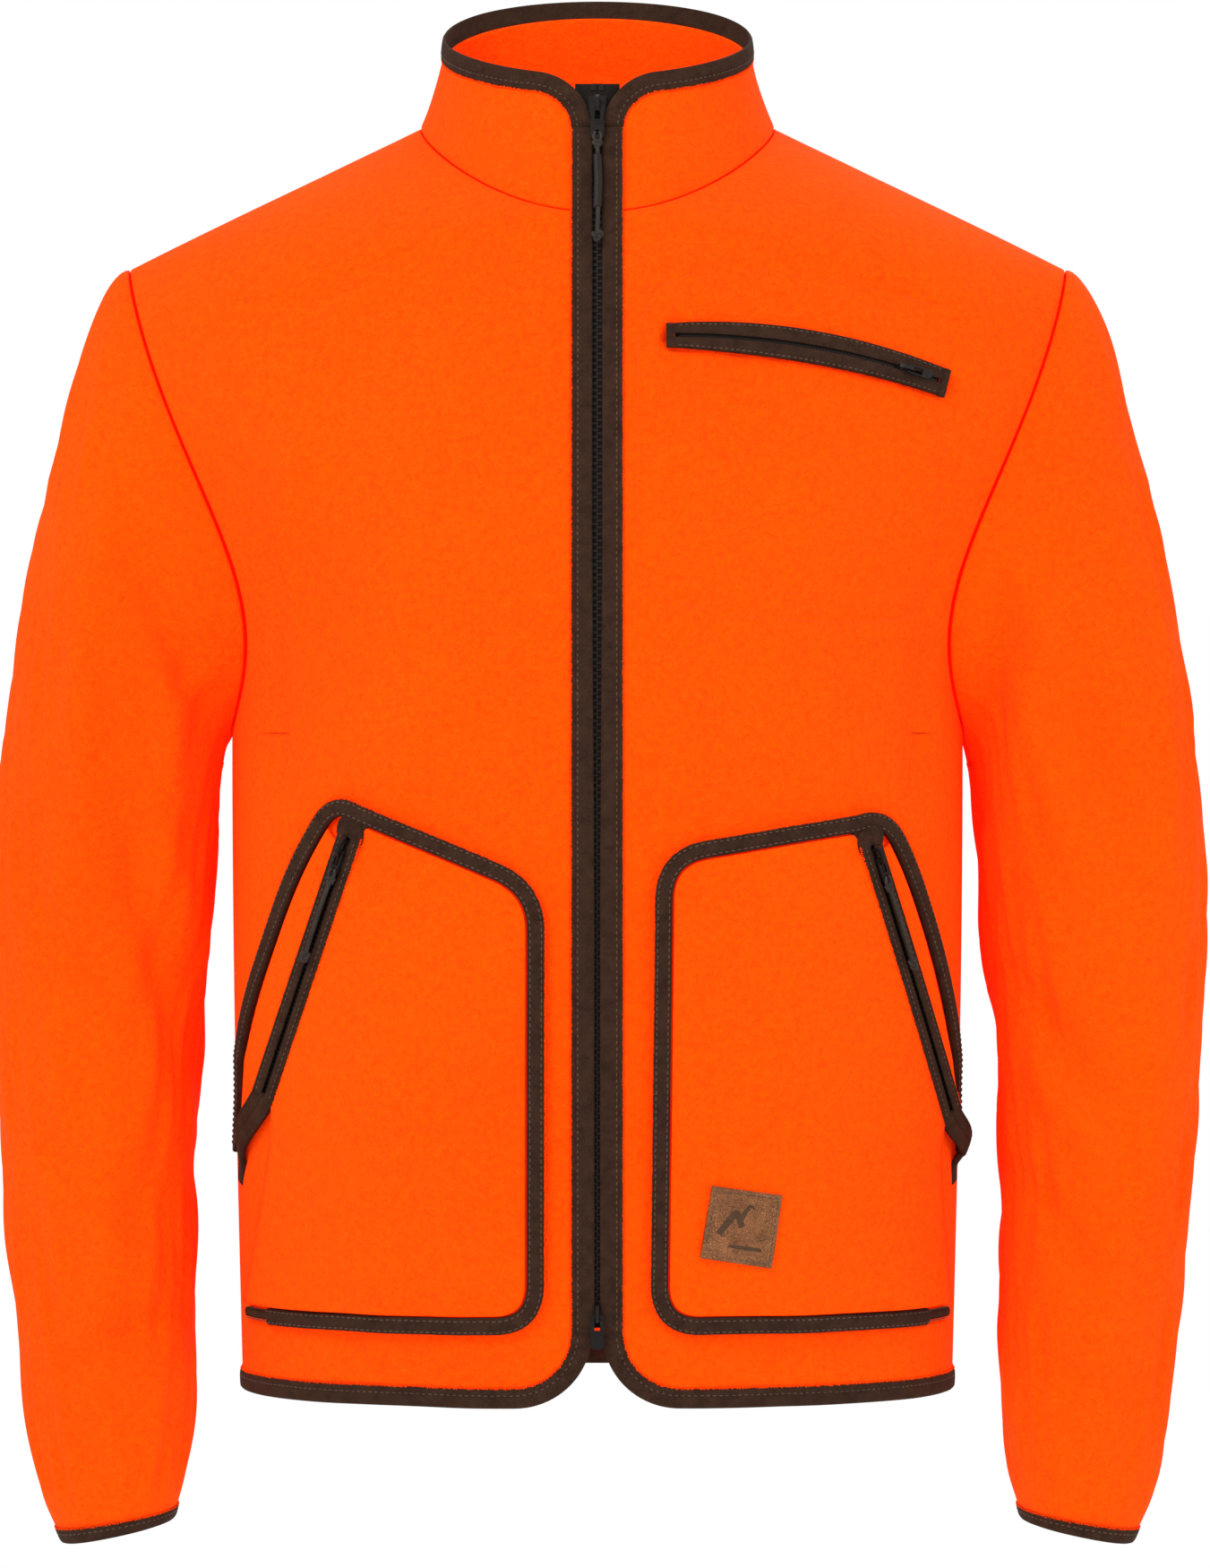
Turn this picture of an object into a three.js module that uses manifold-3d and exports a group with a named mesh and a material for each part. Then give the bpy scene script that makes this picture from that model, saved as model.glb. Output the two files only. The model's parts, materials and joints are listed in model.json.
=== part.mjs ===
// A zipped fleece jacket with two big hand pockets and a chest pocket, standing open as if worn.
// Millimetres. +X is the wearer's left, -Y the front, +Z up. The origin is the middle of the neck
// opening, level with the shoulders. The wearer's left half is drawn first, and most pieces of the
// right half are its mirror image.
import * as THREE from 'three';
import { mergeVertices } from 'three/addons/utils/BufferGeometryUtils.js';
import Module from 'manifold-3d';

const wasm = await Module();
wasm.setup();

// ---------- Driving dimensions ----------

const hemHeight = -684;
const underarmHeight = -335;
const shoulderHeight = -86;
const shoulderHalfWidth = 250;
const chestHalfWidth = 196;
const hemHalfWidth = 190;
const frontDepthAtHem = 118;
const frontDepthAtChest = 140;
const chestHeight = -350;
const backDepthAtHem = 112;
const backDepthAtChest = 128;
const shoulderSeamSetback = 6;
const armholeDepth = 66;
const armholeScoop = 24;
const cloth = 3;
const seamGap = 0.4;

const neckHalfWidth = 95;
const neckFrontHeight = -66;
const neckSideHeight = -10;
const neckBackHeight = 2;
const neckBackDepth = 54;
const collarTopHalfWidth = 82;
const collarTopFrontHeight = 7;
const collarTopBackHeight = 65;
const collarTopFrontDepth = 88;
const collarTopBackDepth = 57;

const sleeveLength = 424;
const bicepWidth = 117;
const bicepDepth = 132;
const elbowWidth = 102;
const elbowDepth = 116;
const wristWidth = 78;
const wristDepth = 90;
const cuffWidth = 58;
const cuffDepth = 74;

const bindingWidth = 9.8;
const bindingRise = 1;
const bindingBack = 3.4;
const cuffBindingWidth = 7;
const flangeGapTop = 2.5;
const flangeGapBottom = 1.4;
const cornerRadius = 30;

const zipEndAboveHem = 42.5;
const zipTopHeight = -1;
const tapeWidth = 11.6;

const pocketTapeWidth = 9;
const pocketTapeThickness = 4.4;
const pocketLift = 1.2;
const pocketFloorHeight = -640;
const pocketInnerEdge = 31.5;
const pocketCorner = 22;

// ---------- Colours ----------

const dye = (name, color, roughness = 0.95, metalness = 0) =>
  new THREE.MeshStandardMaterial({ name, color, roughness, metalness });
const fleece = () => dye('fleece', 0xff5a00);
const binding = () => dye('binding', 0x41291e);
const zipCloth = () => dye('zip tape', 0x1f1914);
const zipPlastic = () => dye('zip teeth', 0x17120f, 0.5);
const zipMetal = () => dye('zip slider', 0x14110f, 0.4, 0.6);
const leather = () => dye('leather', 0x96643e, 0.7);
const cordCloth = () => dye('cord', 0x1b1815, 0.9);
const lining = () => dye('pocket lining', 0xe85400, 0.9);

// ---------- Small helpers ----------

const V = (x, y, z) => new THREE.Vector3(x, y, z);
const { lerp, clamp } = THREE.MathUtils;
const steps = (n) => Array.from({ length: n + 1 }, (_, i) => i / n);
const spread = (a, b, n) => steps(n).map((k) => lerp(a, b, k));

// A closed body from points and triangles, turned so that its faces point outward.
function body(points, faces) {
  let volume = 0;
  for (const [a, b, c] of faces) volume += points[a].dot(V(0, 0, 0).crossVectors(points[b], points[c]));
  const outward = volume > 0 ? faces : faces.map(([a, b, c]) => [a, c, b]);
  const geometry = new THREE.BufferGeometry().setFromPoints(points);
  geometry.setIndex(outward.flat());
  return geometry;
}

// The same body on the other side of the middle.
function mirrored(geometry) {
  const copy = geometry.clone();
  copy.scale(-1, 1, 1);
  const index = copy.index.array;
  for (let i = 0; i < index.length; i += 3) [index[i + 1], index[i + 2]] = [index[i + 2], index[i + 1]];
  return copy;
}

// A sheet of cloth between an outer and an inner face, each a list of rows of points.
// With wraps, each row closes on itself, as round a sleeve.
function sheet(outer, inner, wraps = false) {
  const rows = outer.length;
  const cols = outer[0].length;
  const at = (face, i, j) => face * rows * cols + i * cols + (j % cols);
  const faces = [];
  const quad = (a, b, c, d) => faces.push([a, b, c], [a, c, d]);
  const cells = wraps ? cols : cols - 1;
  for (let i = 0; i < rows - 1; i++) {
    for (let j = 0; j < cells; j++) {
      quad(at(0, i, j), at(0, i, j + 1), at(0, i + 1, j + 1), at(0, i + 1, j));
      quad(at(1, i, j), at(1, i + 1, j), at(1, i + 1, j + 1), at(1, i, j + 1));
    }
  }
  for (let j = 0; j < cells; j++) {
    quad(at(0, 0, j), at(1, 0, j), at(1, 0, j + 1), at(0, 0, j + 1));
    quad(at(0, rows - 1, j), at(0, rows - 1, j + 1), at(1, rows - 1, j + 1), at(1, rows - 1, j));
  }
  for (let i = 0; i < rows - 1 && !wraps; i++) {
    quad(at(0, i, 0), at(0, i + 1, 0), at(1, i + 1, 0), at(1, i, 0));
    quad(at(0, i, cols - 1), at(1, i, cols - 1), at(1, i + 1, cols - 1), at(0, i + 1, cols - 1));
  }
  return body([...outer.flat(), ...inner.flat()], faces);
}

// A sheet on frames { p, n }: its outer face is lifted off p, and its inner face is a thickness below.
function layer(rows, lift = 0, thickness = cloth, wraps = false) {
  const offset = (height) => rows.map((row) => row.map((f) => f.p.clone().addScaledVector(f.n, height)));
  return sheet(offset(lift), offset(lift - thickness), wraps);
}

// A strip whose section, a list of [across, out] corners, follows frames { p, w, n }.
function strip(frames, sectionAt) {
  const sections = frames.map((f, i) => sectionAt(i / (frames.length - 1)));
  const corners = sections[0].length;
  const points = frames.flatMap((f, i) => sections[i].map(
    ([a, b]) => f.p.clone().addScaledVector(f.w, a).addScaledVector(f.n, b)));
  const faces = [];
  for (let i = 0; i < frames.length - 1; i++) {
    for (let j = 0; j < corners; j++) {
      const k = (j + 1) % corners;
      const here = i * corners;
      const next = here + corners;
      faces.push([here + j, here + k, next + k], [here + j, next + k, next + j]);
    }
  }
  const last = (frames.length - 1) * corners;
  const cap = THREE.ShapeUtils.triangulateShape(sections[0].map(([a, b]) => new THREE.Vector2(a, b)), []);
  for (const [a, b, c] of cap) faces.push([a, c, b], [last + a, last + b, last + c]);
  return body(points, faces);
}

const rectangle = (a0, a1, b0, b1) => () => [[a0, b0], [a1, b0], [a1, b1], [a0, b1]];

// Frames along a line of { p, n }, with w to one side of the line, in the surface.
function framesAlong(line, side = 1) {
  return line.map((f, i) => {
    const ahead = line[Math.min(i + 1, line.length - 1)].p;
    const along = ahead.clone().sub(line[Math.max(i - 1, 0)].p).normalize();
    const n = f.n.clone().addScaledVector(along, -along.dot(f.n)).normalize();
    return { p: f.p, n, w: V(0, 0, 0).crossVectors(along, n).multiplyScalar(side) };
  });
}

function toSolid(geometry) {
  const bare = new THREE.BufferGeometry();
  bare.setAttribute('position', geometry.getAttribute('position').clone());
  if (geometry.index) bare.setIndex(geometry.index.clone());
  const merged = mergeVertices(bare, 1e-4);
  return new wasm.Manifold(new wasm.Mesh({
    numProp: 3,
    vertProperties: new Float32Array(merged.getAttribute('position').array),
    triVerts: new Uint32Array(merged.index.array),
  }));
}

function fromSolid(solid) {
  const { vertProperties, triVerts } = solid.getMesh();
  const geometry = new THREE.BufferGeometry();
  geometry.setAttribute('position', new THREE.BufferAttribute(vertProperties, 3));
  geometry.setIndex(new THREE.BufferAttribute(triVerts, 1));
  return geometry;
}

const joined = (a, b) => fromSolid(toSolid(a).add(toSolid(b)));
const cut = (a, b) => fromSolid(toSolid(a).subtract(toSolid(b)));

// ---------- Circular tracks, which the zips follow ----------

// The circle through three points. Stations on it are told by their distance from the first point.
function trackThrough(a, b, c, facing) {
  const ab = b.clone().sub(a);
  const ac = c.clone().sub(a);
  const axis = V(0, 0, 0).crossVectors(ab, ac);
  const size = axis.lengthSq();
  const toCentre = V(0, 0, 0).crossVectors(axis, ab).multiplyScalar(ac.lengthSq())
    .add(V(0, 0, 0).crossVectors(ac, axis).multiplyScalar(ab.lengthSq())).divideScalar(2 * size);
  const centre = a.clone().add(toCentre);
  const radius = toCentre.length();
  axis.normalize();
  const start = a.clone().sub(centre).normalize();
  const end = c.clone().sub(centre).normalize();
  const angle = Math.atan2(V(0, 0, 0).crossVectors(start, end).dot(axis), start.dot(end));
  const middle = start.clone().applyAxisAngle(axis, angle / 2);
  const tilt = Math.atan2(facing.dot(axis), facing.dot(middle));
  const at = (distance) => {
    const radial = start.clone().applyAxisAngle(axis, distance / radius);
    const along = V(0, 0, 0).crossVectors(axis, radial);
    const n = radial.clone().multiplyScalar(Math.cos(tilt)).addScaledVector(axis, Math.sin(tilt));
    const p = centre.clone().addScaledVector(radial, radius);
    return { p, n, t: along, w: V(0, 0, 0).crossVectors(along, n) };
  };
  const between = (from, to, n) => spread(from, to, n).map(at);
  return { centre, radius, axis, length: angle * radius, at, between };
}

// ---------- The shape of the body ----------

const frontTrack = trackThrough(
  V(0, -frontDepthAtHem, hemHeight),
  V(0, -frontDepthAtChest, chestHeight),
  V(0, -collarTopFrontDepth, collarTopFrontHeight),
  V(0, -1, 0));

function frontDepth(z) {
  const rise = z - frontTrack.centre.z;
  return frontTrack.centre.y - Math.sqrt(frontTrack.radius ** 2 - rise ** 2);
}

// The distance along the front track at which it reaches a height.
function frontDistance(z) {
  const angle = (h) => Math.asin((h - frontTrack.centre.z) / frontTrack.radius);
  return frontTrack.radius * (angle(z) - angle(hemHeight));
}

function backDepth(z) {
  const k = (z - hemHeight) / (underarmHeight - hemHeight);
  return lerp(backDepthAtHem, backDepthAtChest, Math.sin(k * Math.PI / 2));
}

// The neck seam, from the middle of the front at 0 round to the middle of the back at pi.
function neckSeam(angle) {
  const c = Math.cos(angle);
  const s = Math.sin(angle);
  const front = c > 0;
  const reach = front ? shoulderSeamSetback - frontDepth(neckFrontHeight) : neckBackDepth - shoulderSeamSetback;
  const rise = front
    ? lerp(neckSideHeight, neckFrontHeight, 1 - (1 - c + s * s) / 2)
    : lerp(neckSideHeight, neckBackHeight, c * c);
  return V(neckHalfWidth * s, shoulderSeamSetback - reach * c, rise);
}

const backUpper = new THREE.CubicBezierCurve3(
  V(0, backDepth(underarmHeight), underarmHeight),
  V(0, backDepthAtChest + 4, lerp(underarmHeight, neckBackHeight, 0.45)),
  V(0, backDepthAtChest - 12, lerp(underarmHeight, neckBackHeight, 0.85)),
  V(0, neckBackDepth, neckBackHeight));

const power = (value, e) => Math.sign(value) * Math.abs(value) ** e;
const roundness = 0.87;

const bicepOuter = V(chestHalfWidth - 1 + 3 + bicepWidth, 0, underarmHeight);
const shoulderPoint = V(shoulderHalfWidth, shoulderSeamSetback, shoulderHeight);
const underarmPoint = V(chestHalfWidth - 0.5, 0, underarmHeight);
const shoulderLine = new THREE.CubicBezierCurve3(
  shoulderPoint,
  shoulderPoint.clone().add(V(26, 0, -4)),
  bicepOuter.clone().add(V(-20, 0, 120)),
  bicepOuter);

// Width, depth and distance out from the underarm at fractions of the sleeve's length.
const sleeveStations = [
  [0, bicepWidth, bicepDepth, 3],
  [0.22, bicepWidth, lerp(bicepDepth, elbowDepth, 0.4), 12],
  [0.54, elbowWidth, elbowDepth, 20],
  [0.8, lerp(elbowWidth, wristWidth, 0.45), lerp(elbowDepth, wristDepth, 0.5), 20],
  [0.93, wristWidth, wristDepth, 24],
  [1, cuffWidth, cuffDepth, 31],
];
const sleeveCurve = (column) => new THREE.SplineCurve(
  sleeveStations.map((s) => new THREE.Vector2(s[0], s[column])));
const sleeveWidths = sleeveCurve(1);
const sleeveDepths = sleeveCurve(2);
const sleeveOuts = sleeveCurve(3);

function readCurve(curve, fraction) {
  let low = 0;
  let high = 1;
  for (let i = 0; i < 30; i++) {
    const middle = (low + high) / 2;
    if (curve.getPoint(middle).x < fraction) low = middle;
    else high = middle;
  }
  return curve.getPoint(low).y;
}

// The sleeve's outer and inner lines and its depth. It fans out from the armhole (0) round the
// underarm to the upper arm (1), and then hangs down to the cuff (2).
function sleeveRing(s) {
  if (s <= 1) {
    const inner = underarmPoint.clone().add(V(2.5 * s, 0, -16 * s));
    return { outer: shoulderLine.getPoint(s), inner, depth: lerp(armholeDepth, bicepDepth / 2, s) };
  }
  const k = s - 1;
  const z = underarmHeight - sleeveLength * k;
  const x = underarmPoint.x + readCurve(sleeveOuts, k);
  const tilt = lerp(8, 0, clamp(k / 0.25, 0, 1)) - 6 * clamp((k - 0.8) / 0.2, 0, 1);
  const forward = -14 * k * k;
  return {
    outer: V(x + readCurve(sleeveWidths, k), forward, z + tilt),
    inner: V(x, forward, z - tilt),
    depth: readCurve(sleeveDepths, k) / 2,
  };
}

// A point on the sleeve: angle 0 is its outer line, a quarter turn its front, a half turn its inside.
function sleevePoint(angle, s) {
  const { outer, inner, depth } = sleeveRing(s);
  const share = (1 - power(Math.cos(angle), roundness)) / 2;
  const p = outer.clone().lerp(inner, share);
  p.y -= depth * power(Math.sin(angle), roundness);
  const scoop = Math.sin(Math.PI * share * share) * armholeScoop * Math.max(0, 1 - 1.4 * s) ** 2;
  p.x -= scoop;
  return p;
}

// The body's surface. Across, it runs from the middle (0) to the side (1). Up, it runs from the hem
// (0) to the underarm (1), and then to the shoulder seam (2). Its front faces -Y and its back +Y.
const neckShare = 0.66;

function middleLine(face, v) {
  if (v <= 1) {
    const z = lerp(hemHeight, underarmHeight, v);
    return V(0, face < 0 ? frontDepth(z) : backDepth(z), z);
  }
  const k = (v - 1) / neckShare;
  if (k > 1) {
    const turn = (v - 1 - neckShare) / (1 - neckShare) * Math.PI / 2;
    return neckSeam(face < 0 ? turn : Math.PI - turn);
  }
  if (face > 0) return backUpper.getPoint(k);
  const z = lerp(underarmHeight, neckFrontHeight, k ** 1.2);
  return V(0, frontDepth(z), z);
}

function sideLine(face, v) {
  if (v > 1) {
    const p = sleevePoint(Math.PI * (2 - v), 0);
    if (face > 0) {
      const back = sleevePoint(-Math.PI * (2 - v), 0);
      p.set(back.x, back.y, back.z);
    }
    p.y += face * seamGap / 2;
    return p;
  }
  const z = lerp(hemHeight, underarmHeight, v);
  const k = Math.sin(clamp(v, 0, 1) * Math.PI / 2);
  return V(lerp(hemHalfWidth, chestHalfWidth - 0.5, k), face * seamGap / 2, z);
}

const across = 2.6;
const round = 2.2;
function bodyPoint(face, u, v) {
  const m = middleLine(face, v);
  const s = sideLine(face, v);
  const base = Math.max(0, v - 1) * (shoulderSeamSetback - face * 14);
  const ratio = clamp((s.y - base) / (m.y - base), 0, 0.96);
  const end = (1 - ratio ** round) ** (1 / across);
  const height = (Math.max(0, 1 - (u * end) ** across)) ** (1 / round);
  const share = (height - ratio) / (1 - ratio);
  return V(lerp(m.x, s.x, u), s.y + (m.y - s.y) * share, rowHeight(m, s, u, v));
}

// Rows leave the middle level, and the shoulder seam is straight.
const rowHeight = (m, s, u, v) => lerp(m.z, s.z, u ** lerp(1.8, 1, clamp((v - 1.5) * 2, 0, 1)));

function bodyFrame(face, u, v) {
  const step = 0.002;
  const along = (a, b) => bodyPoint(face, ...b).sub(bodyPoint(face, ...a));
  const du = along([clamp(u - step, 0, 1 - step), v], [clamp(u + step, step, 1), v]);
  const dv = along([u, clamp(v - step, 0, 2 - step)], [u, clamp(v + step, step, 2)]);
  const n = V(0, 0, 0).crossVectors(du, dv).multiplyScalar(-face).normalize();
  if (u === 0 && v < 1 + neckShare) n.x = 0;
  n.y *= clamp((2 - v) / 0.12, 0, 1);
  return { p: bodyPoint(face, u, v), n: n.normalize() };
}

// The frame on the body at a width and a height, lifted off the cloth.
function onBody(face, x, z, lift = 0) {
  let low = -0.1;
  let high = 2;
  let u = 0;
  for (let i = 0; i < 40; i++) {
    const v = (low + high) / 2;
    const m = middleLine(face, v);
    const s = sideLine(face, v);
    u = clamp((x - m.x) / (s.x - m.x), 0, 1);
    if (rowHeight(m, s, u, v) < z) low = v;
    else high = v;
  }
  const frame = bodyFrame(face, u, low);
  frame.p.addScaledVector(frame.n, lift);
  return frame;
}

// ---------- Panels ----------

const panelEdge = flangeGapTop + bindingWidth + seamGap / 2;
const panelHem = hemHeight + bindingWidth + seamGap / 2;
const panelHemAt = (x) => {
  const inside = cornerRadius - Math.min(x - panelEdge, cornerRadius);
  return panelHem + cornerRadius - Math.sqrt(cornerRadius ** 2 - inside ** 2);
};
const heightShare = (z) => (z - hemHeight) / (underarmHeight - hemHeight);

const lowerRows = spread(0, 1, 6);
const upperRows = [1.12, 1.25, 1.38, 1.5, 1.6, 1 + neckShare, 1.75, 1.83, 1.9, 1.96, 2];
const frontColumns = [0, 0.02, 0.065, 0.13, 0.2, 0.3, 0.42, 0.54, 0.65, 0.75, 0.84, 0.91, 0.96, 0.99, 1];
const backColumns = [0, 0.16, 0.3, 0.43, 0.55, 0.66, 0.76, 0.85, 0.92, 0.97, 1];

function frontPanel() {
  const rowAt = (level) => frontColumns.map((c) => {
    if (level > 1) {
      const m = middleLine(-1, level);
      const s = sideLine(-1, level);
      const start = Math.max(panelEdge, m.x + seamGap / 2);
      return bodyFrame(-1, lerp((start - m.x) / (s.x - m.x), 1, c), level);
    }
    const side = sideLine(-1, level).x;
    const x = lerp(panelEdge, side, c);
    const v = lerp(heightShare(panelHemAt(x)), 1, level);
    return bodyFrame(-1, x / sideLine(-1, v).x, v);
  });
  return layer([...lowerRows, ...upperRows].map(rowAt));
}

function backHalf() {
  const low = heightShare(panelHem);
  const rows = [...lowerRows.map((k) => lerp(low, 1, k)), ...upperRows];
  return layer(rows.map((v) => backColumns.map((c) => {
    const start = v > 1 + neckShare ? 0.004 : 0;
    return bodyFrame(1, lerp(start, 1, c), v);
  })));
}

function sleeve() {
  const around = 22;
  const rings = [0.02, 0.16, 0.32, 0.5, 0.7, 1, 1.12, 1.27, 1.42, 1.57, 1.72, 1.84, 1.93];
  rings.push(2 - cuffBindingWidth / sleeveLength - 0.001);
  return layer(rings.map((s) => Array.from({ length: around }, (_, j) => sleeveFrame(j / around, s))), 0,
    cloth, true);
}

function sleeveFrame(turn, s) {
  const angle = 2 * Math.PI * turn;
  const p = sleevePoint(angle, s);
  const step = 0.01;
  const round1 = sleevePoint(angle + step, s).sub(sleevePoint(angle - step, s));
  const centre = sleeveRing(s).outer.clone().add(sleeveRing(s).inner).multiplyScalar(0.5);
  const spoke = p.clone().sub(centre);
  const ringNormal = sleeveRing(s).outer.clone().sub(sleeveRing(s).inner).cross(V(0, 1, 0));
  const n = V(0, 0, 0).crossVectors(round1, ringNormal).normalize();
  if (n.dot(spoke) < 0) n.negate();
  p.x += seamGap * Number(s < 1);
  return { p, n };
}

// ---------- Collar ----------

const collarRise = 1.4;
function collarPoint(c, h) {
  const lean = 1 - (1 - h) ** 2.2;
  const first = Math.asin(panelEdge / lerp(neckHalfWidth, collarTopHalfWidth, lean));
  const angle = lerp(first, Math.PI, c);
  const foot = neckSeam(angle);
  foot.z += collarRise;
  const tilt = Math.cos(angle);
  const middle = (collarTopBackDepth - collarTopFrontDepth) / 2;
  const top = V(
    collarTopHalfWidth * Math.sin(angle),
    middle - (collarTopBackDepth + collarTopFrontDepth) / 2 * tilt,
    lerp(collarTopBackHeight, collarTopFrontHeight, (1 + tilt) / 2));
  return V(lerp(foot.x, top.x, lean), lerp(foot.y, top.y, h), lerp(foot.z, top.z, h));
}

function collarFrame(c, h) {
  const step = 0.002;
  const du = collarPoint(Math.min(c + step, 1), h).sub(collarPoint(Math.max(c - step, 0), h));
  const dv = collarPoint(c, Math.min(h + step, 1)).sub(collarPoint(c, Math.max(h - step, 0)));
  const n = V(0, 0, 0).crossVectors(du, dv).normalize();
  if (c === 1) n.x = 0;
  return { p: collarPoint(c, h), n: n.normalize() };
}

// How much of the collar's height is cloth, below its binding and round its front corner.
const collarCorner = 20;
function collarClothTop(c) {
  const height = collarPoint(c, 1).z - collarPoint(c, 0).z;
  const fromEdge = collarPoint(c, 1).x - collarPoint(0, 1).x;
  const inside = collarCorner - clamp(c > 0.5 ? collarCorner : fromEdge, 0, collarCorner);
  const drop = collarCorner - Math.sqrt(collarCorner ** 2 - inside ** 2);
  return 1 - (bindingWidth + drop) / height;
}

const collarColumns = [0, 0.006, 0.02, 0.045, 0.085, 0.15, 0.24, 0.34, 0.44, 0.54, 0.64, 0.75, 0.87, 1];
const collarHalf = () => layer(
  [0, 0.2, 0.45, 0.72, 1].map((k) => collarColumns.map((c) => collarFrame(c, k * collarClothTop(c)))));

// ---------- Bindings ----------

const bindingSection = rectangle(seamGap, bindingWidth, -bindingBack, bindingRise);

// Both halves of a line that starts on the left half and ends in the middle of the back.
function wholeLine(half) {
  const flip = (f) => ({ p: V(-f.p.x, f.p.y, f.p.z), n: V(-f.n.x, f.n.y, f.n.z) });
  return [...half, ...half.slice(0, -1).reverse().map(flip)];
}

function hemBinding() {
  const corner = spread(0, Math.PI / 2, 6).map((a) => [
    panelEdge + cornerRadius * (1 - Math.cos(a)),
    panelHem + cornerRadius * (1 - Math.sin(a)),
  ]);
  const side = hemHalfWidth;
  const reach = panelEdge + cornerRadius;
  const along = [0.12, 0.25, 0.38, 0.5, 0.61, 0.71, 0.8, 0.87, 0.93, 0.97, 0.99];
  const front = [...corner, ...along.map((k) => [lerp(reach, side, k), panelHem])];
  const back = [0.99, 0.96, 0.91, 0.84, 0.76, 0.66, 0.55, 0.43, 0.3, 0.16, 0].map((k) => [side * k, panelHem]);
  const half = [
    ...front.map(([x, z]) => onBody(-1, x, z)),
    ...back.map(([x, z]) => onBody(1, x, z)),
  ];
  return strip(framesAlong(wholeLine(half)), bindingSection);
}

function collarBinding() {
  const half = collarColumns.map((c) => collarFrame(c, collarClothTop(c)));
  const thin = bindingRise - zip.lip;
  const step = seamGap + 1.4;
  return strip(framesAlong(wholeLine(half), -1), () => [[seamGap, -2.2], [step, -2.2], [step, thin],
    [bindingWidth, thin], [bindingWidth, bindingRise], [seamGap, bindingRise]]);
}

const flangeFrom = frontDistance(panelHem + cornerRadius) + seamGap;
const flangeTo = frontDistance(collarPoint(0, collarClothTop(0)).z) - seamGap;

function cuffBinding() {
  const around = 22;
  const rings = [2 - (cuffBindingWidth - seamGap) / sleeveLength, 2];
  const frames = rings.map((s) => Array.from({ length: around }, (_, j) => sleeveFrame(j / around, s)));
  return layer(frames, bindingRise, bindingRise + bindingBack, true);
}

// ---------- Zips ----------

// Depths of a zip below the face of its flanges, and distances from its middle. Smaller zips scale them.
const zip = {
  lip: 1.7, lipReach: 5.4, flangeBack: 4, topPlate: [2.2, 3], tooth: [3.4, 6], toothAcross: [0.6, 2.9],
  tape: [4.4, 5], bottomPlate: [6.4, 7.2], sliderHalf: 4.6, sliderLength: 12,
};
const mainFace = bindingRise;
const zipFrom = zipEndAboveHem;
const zipTo = frontDistance(zipTopHeight);

// One flange beside a zip of size k: a lip over the slider's track, and a body behind it.
function flange(track, from, to, n, k, face, edge, gapAt) {
  const lip = face - zip.lip * k;
  const back = face - zip.flangeBack * k;
  const reach = zip.lipReach * k;
  return strip(track.between(from, to, n), (share) => [
    [gapAt(share), lip], [reach, lip], [reach, back], [edge, back], [edge, face], [gapAt(share), face]]);
}

// One half of a zip of size k: its tape, with the teeth along the tape's edge.
function zipHalf(track, from, to, n, k, face, width) {
  const [toothNear, toothFar] = zip.toothAcross.map((a) => a * k);
  const [toothTop, toothBottom] = zip.tooth.map((d) => face - d * k);
  const [tapeTop, tapeBottom] = zip.tape.map((d) => face - d * k);
  return strip(track.between(from, to, n), () => [
    [toothNear, toothBottom], [toothFar, toothBottom], [toothFar, tapeBottom], [width, tapeBottom],
    [width, tapeTop], [toothFar, tapeTop], [toothFar, toothTop], [toothNear, toothTop]]);
}

// A track whose far side is its near side, for drawing the other half of a zip.
const turnedOver = (track) => ({
  ...track,
  between: (from, to, n) => track.between(from, to, n).map((f) => ({ ...f, w: f.w.clone().negate() })),
});

const frontBinding = () => flange(frontTrack, flangeFrom, flangeTo, 14, 1, mainFace, panelEdge - seamGap,
  (share) => lerp(flangeGapBottom, flangeGapTop, clamp((share - 0.35) / 0.3, 0, 1)));

// A slider: two plates joined by a web, with rims, and a bail that holds its pull.
function sliderBody(k) {
  const half = zip.sliderHalf * k;
  const [t0, t1] = zip.topPlate.map((d) => -d * k);
  const [b1, b0] = zip.bottomPlate.map((d) => -d * k);
  const [tapeHigh, tapeLow] = zip.tape.map((d) => -d * k);
  const slot = 0.5;
  const rim = half - 0.9 * k;
  const web = (zip.toothAcross[0] - 0.25) * k;
  const outline = [
    [-half, t0], [half, t0], [half, tapeHigh + slot], [rim, tapeHigh + slot], [rim, t1], [web, t1],
    [web, b1], [rim, b1], [rim, tapeLow - slot], [half, tapeLow - slot], [half, b0],
    [-half, b0], [-half, tapeLow - slot], [-rim, tapeLow - slot], [-rim, b1], [-web, b1],
    [-web, t1], [-rim, t1], [-rim, tapeHigh + slot], [-half, tapeHigh + slot],
  ];
  const length = Math.max(zip.sliderLength * k, 2 * bailLeg + 0.6);
  const plates = new THREE.ExtrudeGeometry(
    new THREE.Shape(outline.map(([x, y]) => new THREE.Vector2(x, y))), { depth: length, bevelEnabled: false });
  plates.rotateX(Math.PI / 2);
  plates.translate(0, length / 2, 0);
  return joined(plates, bail(t0));
}

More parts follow.
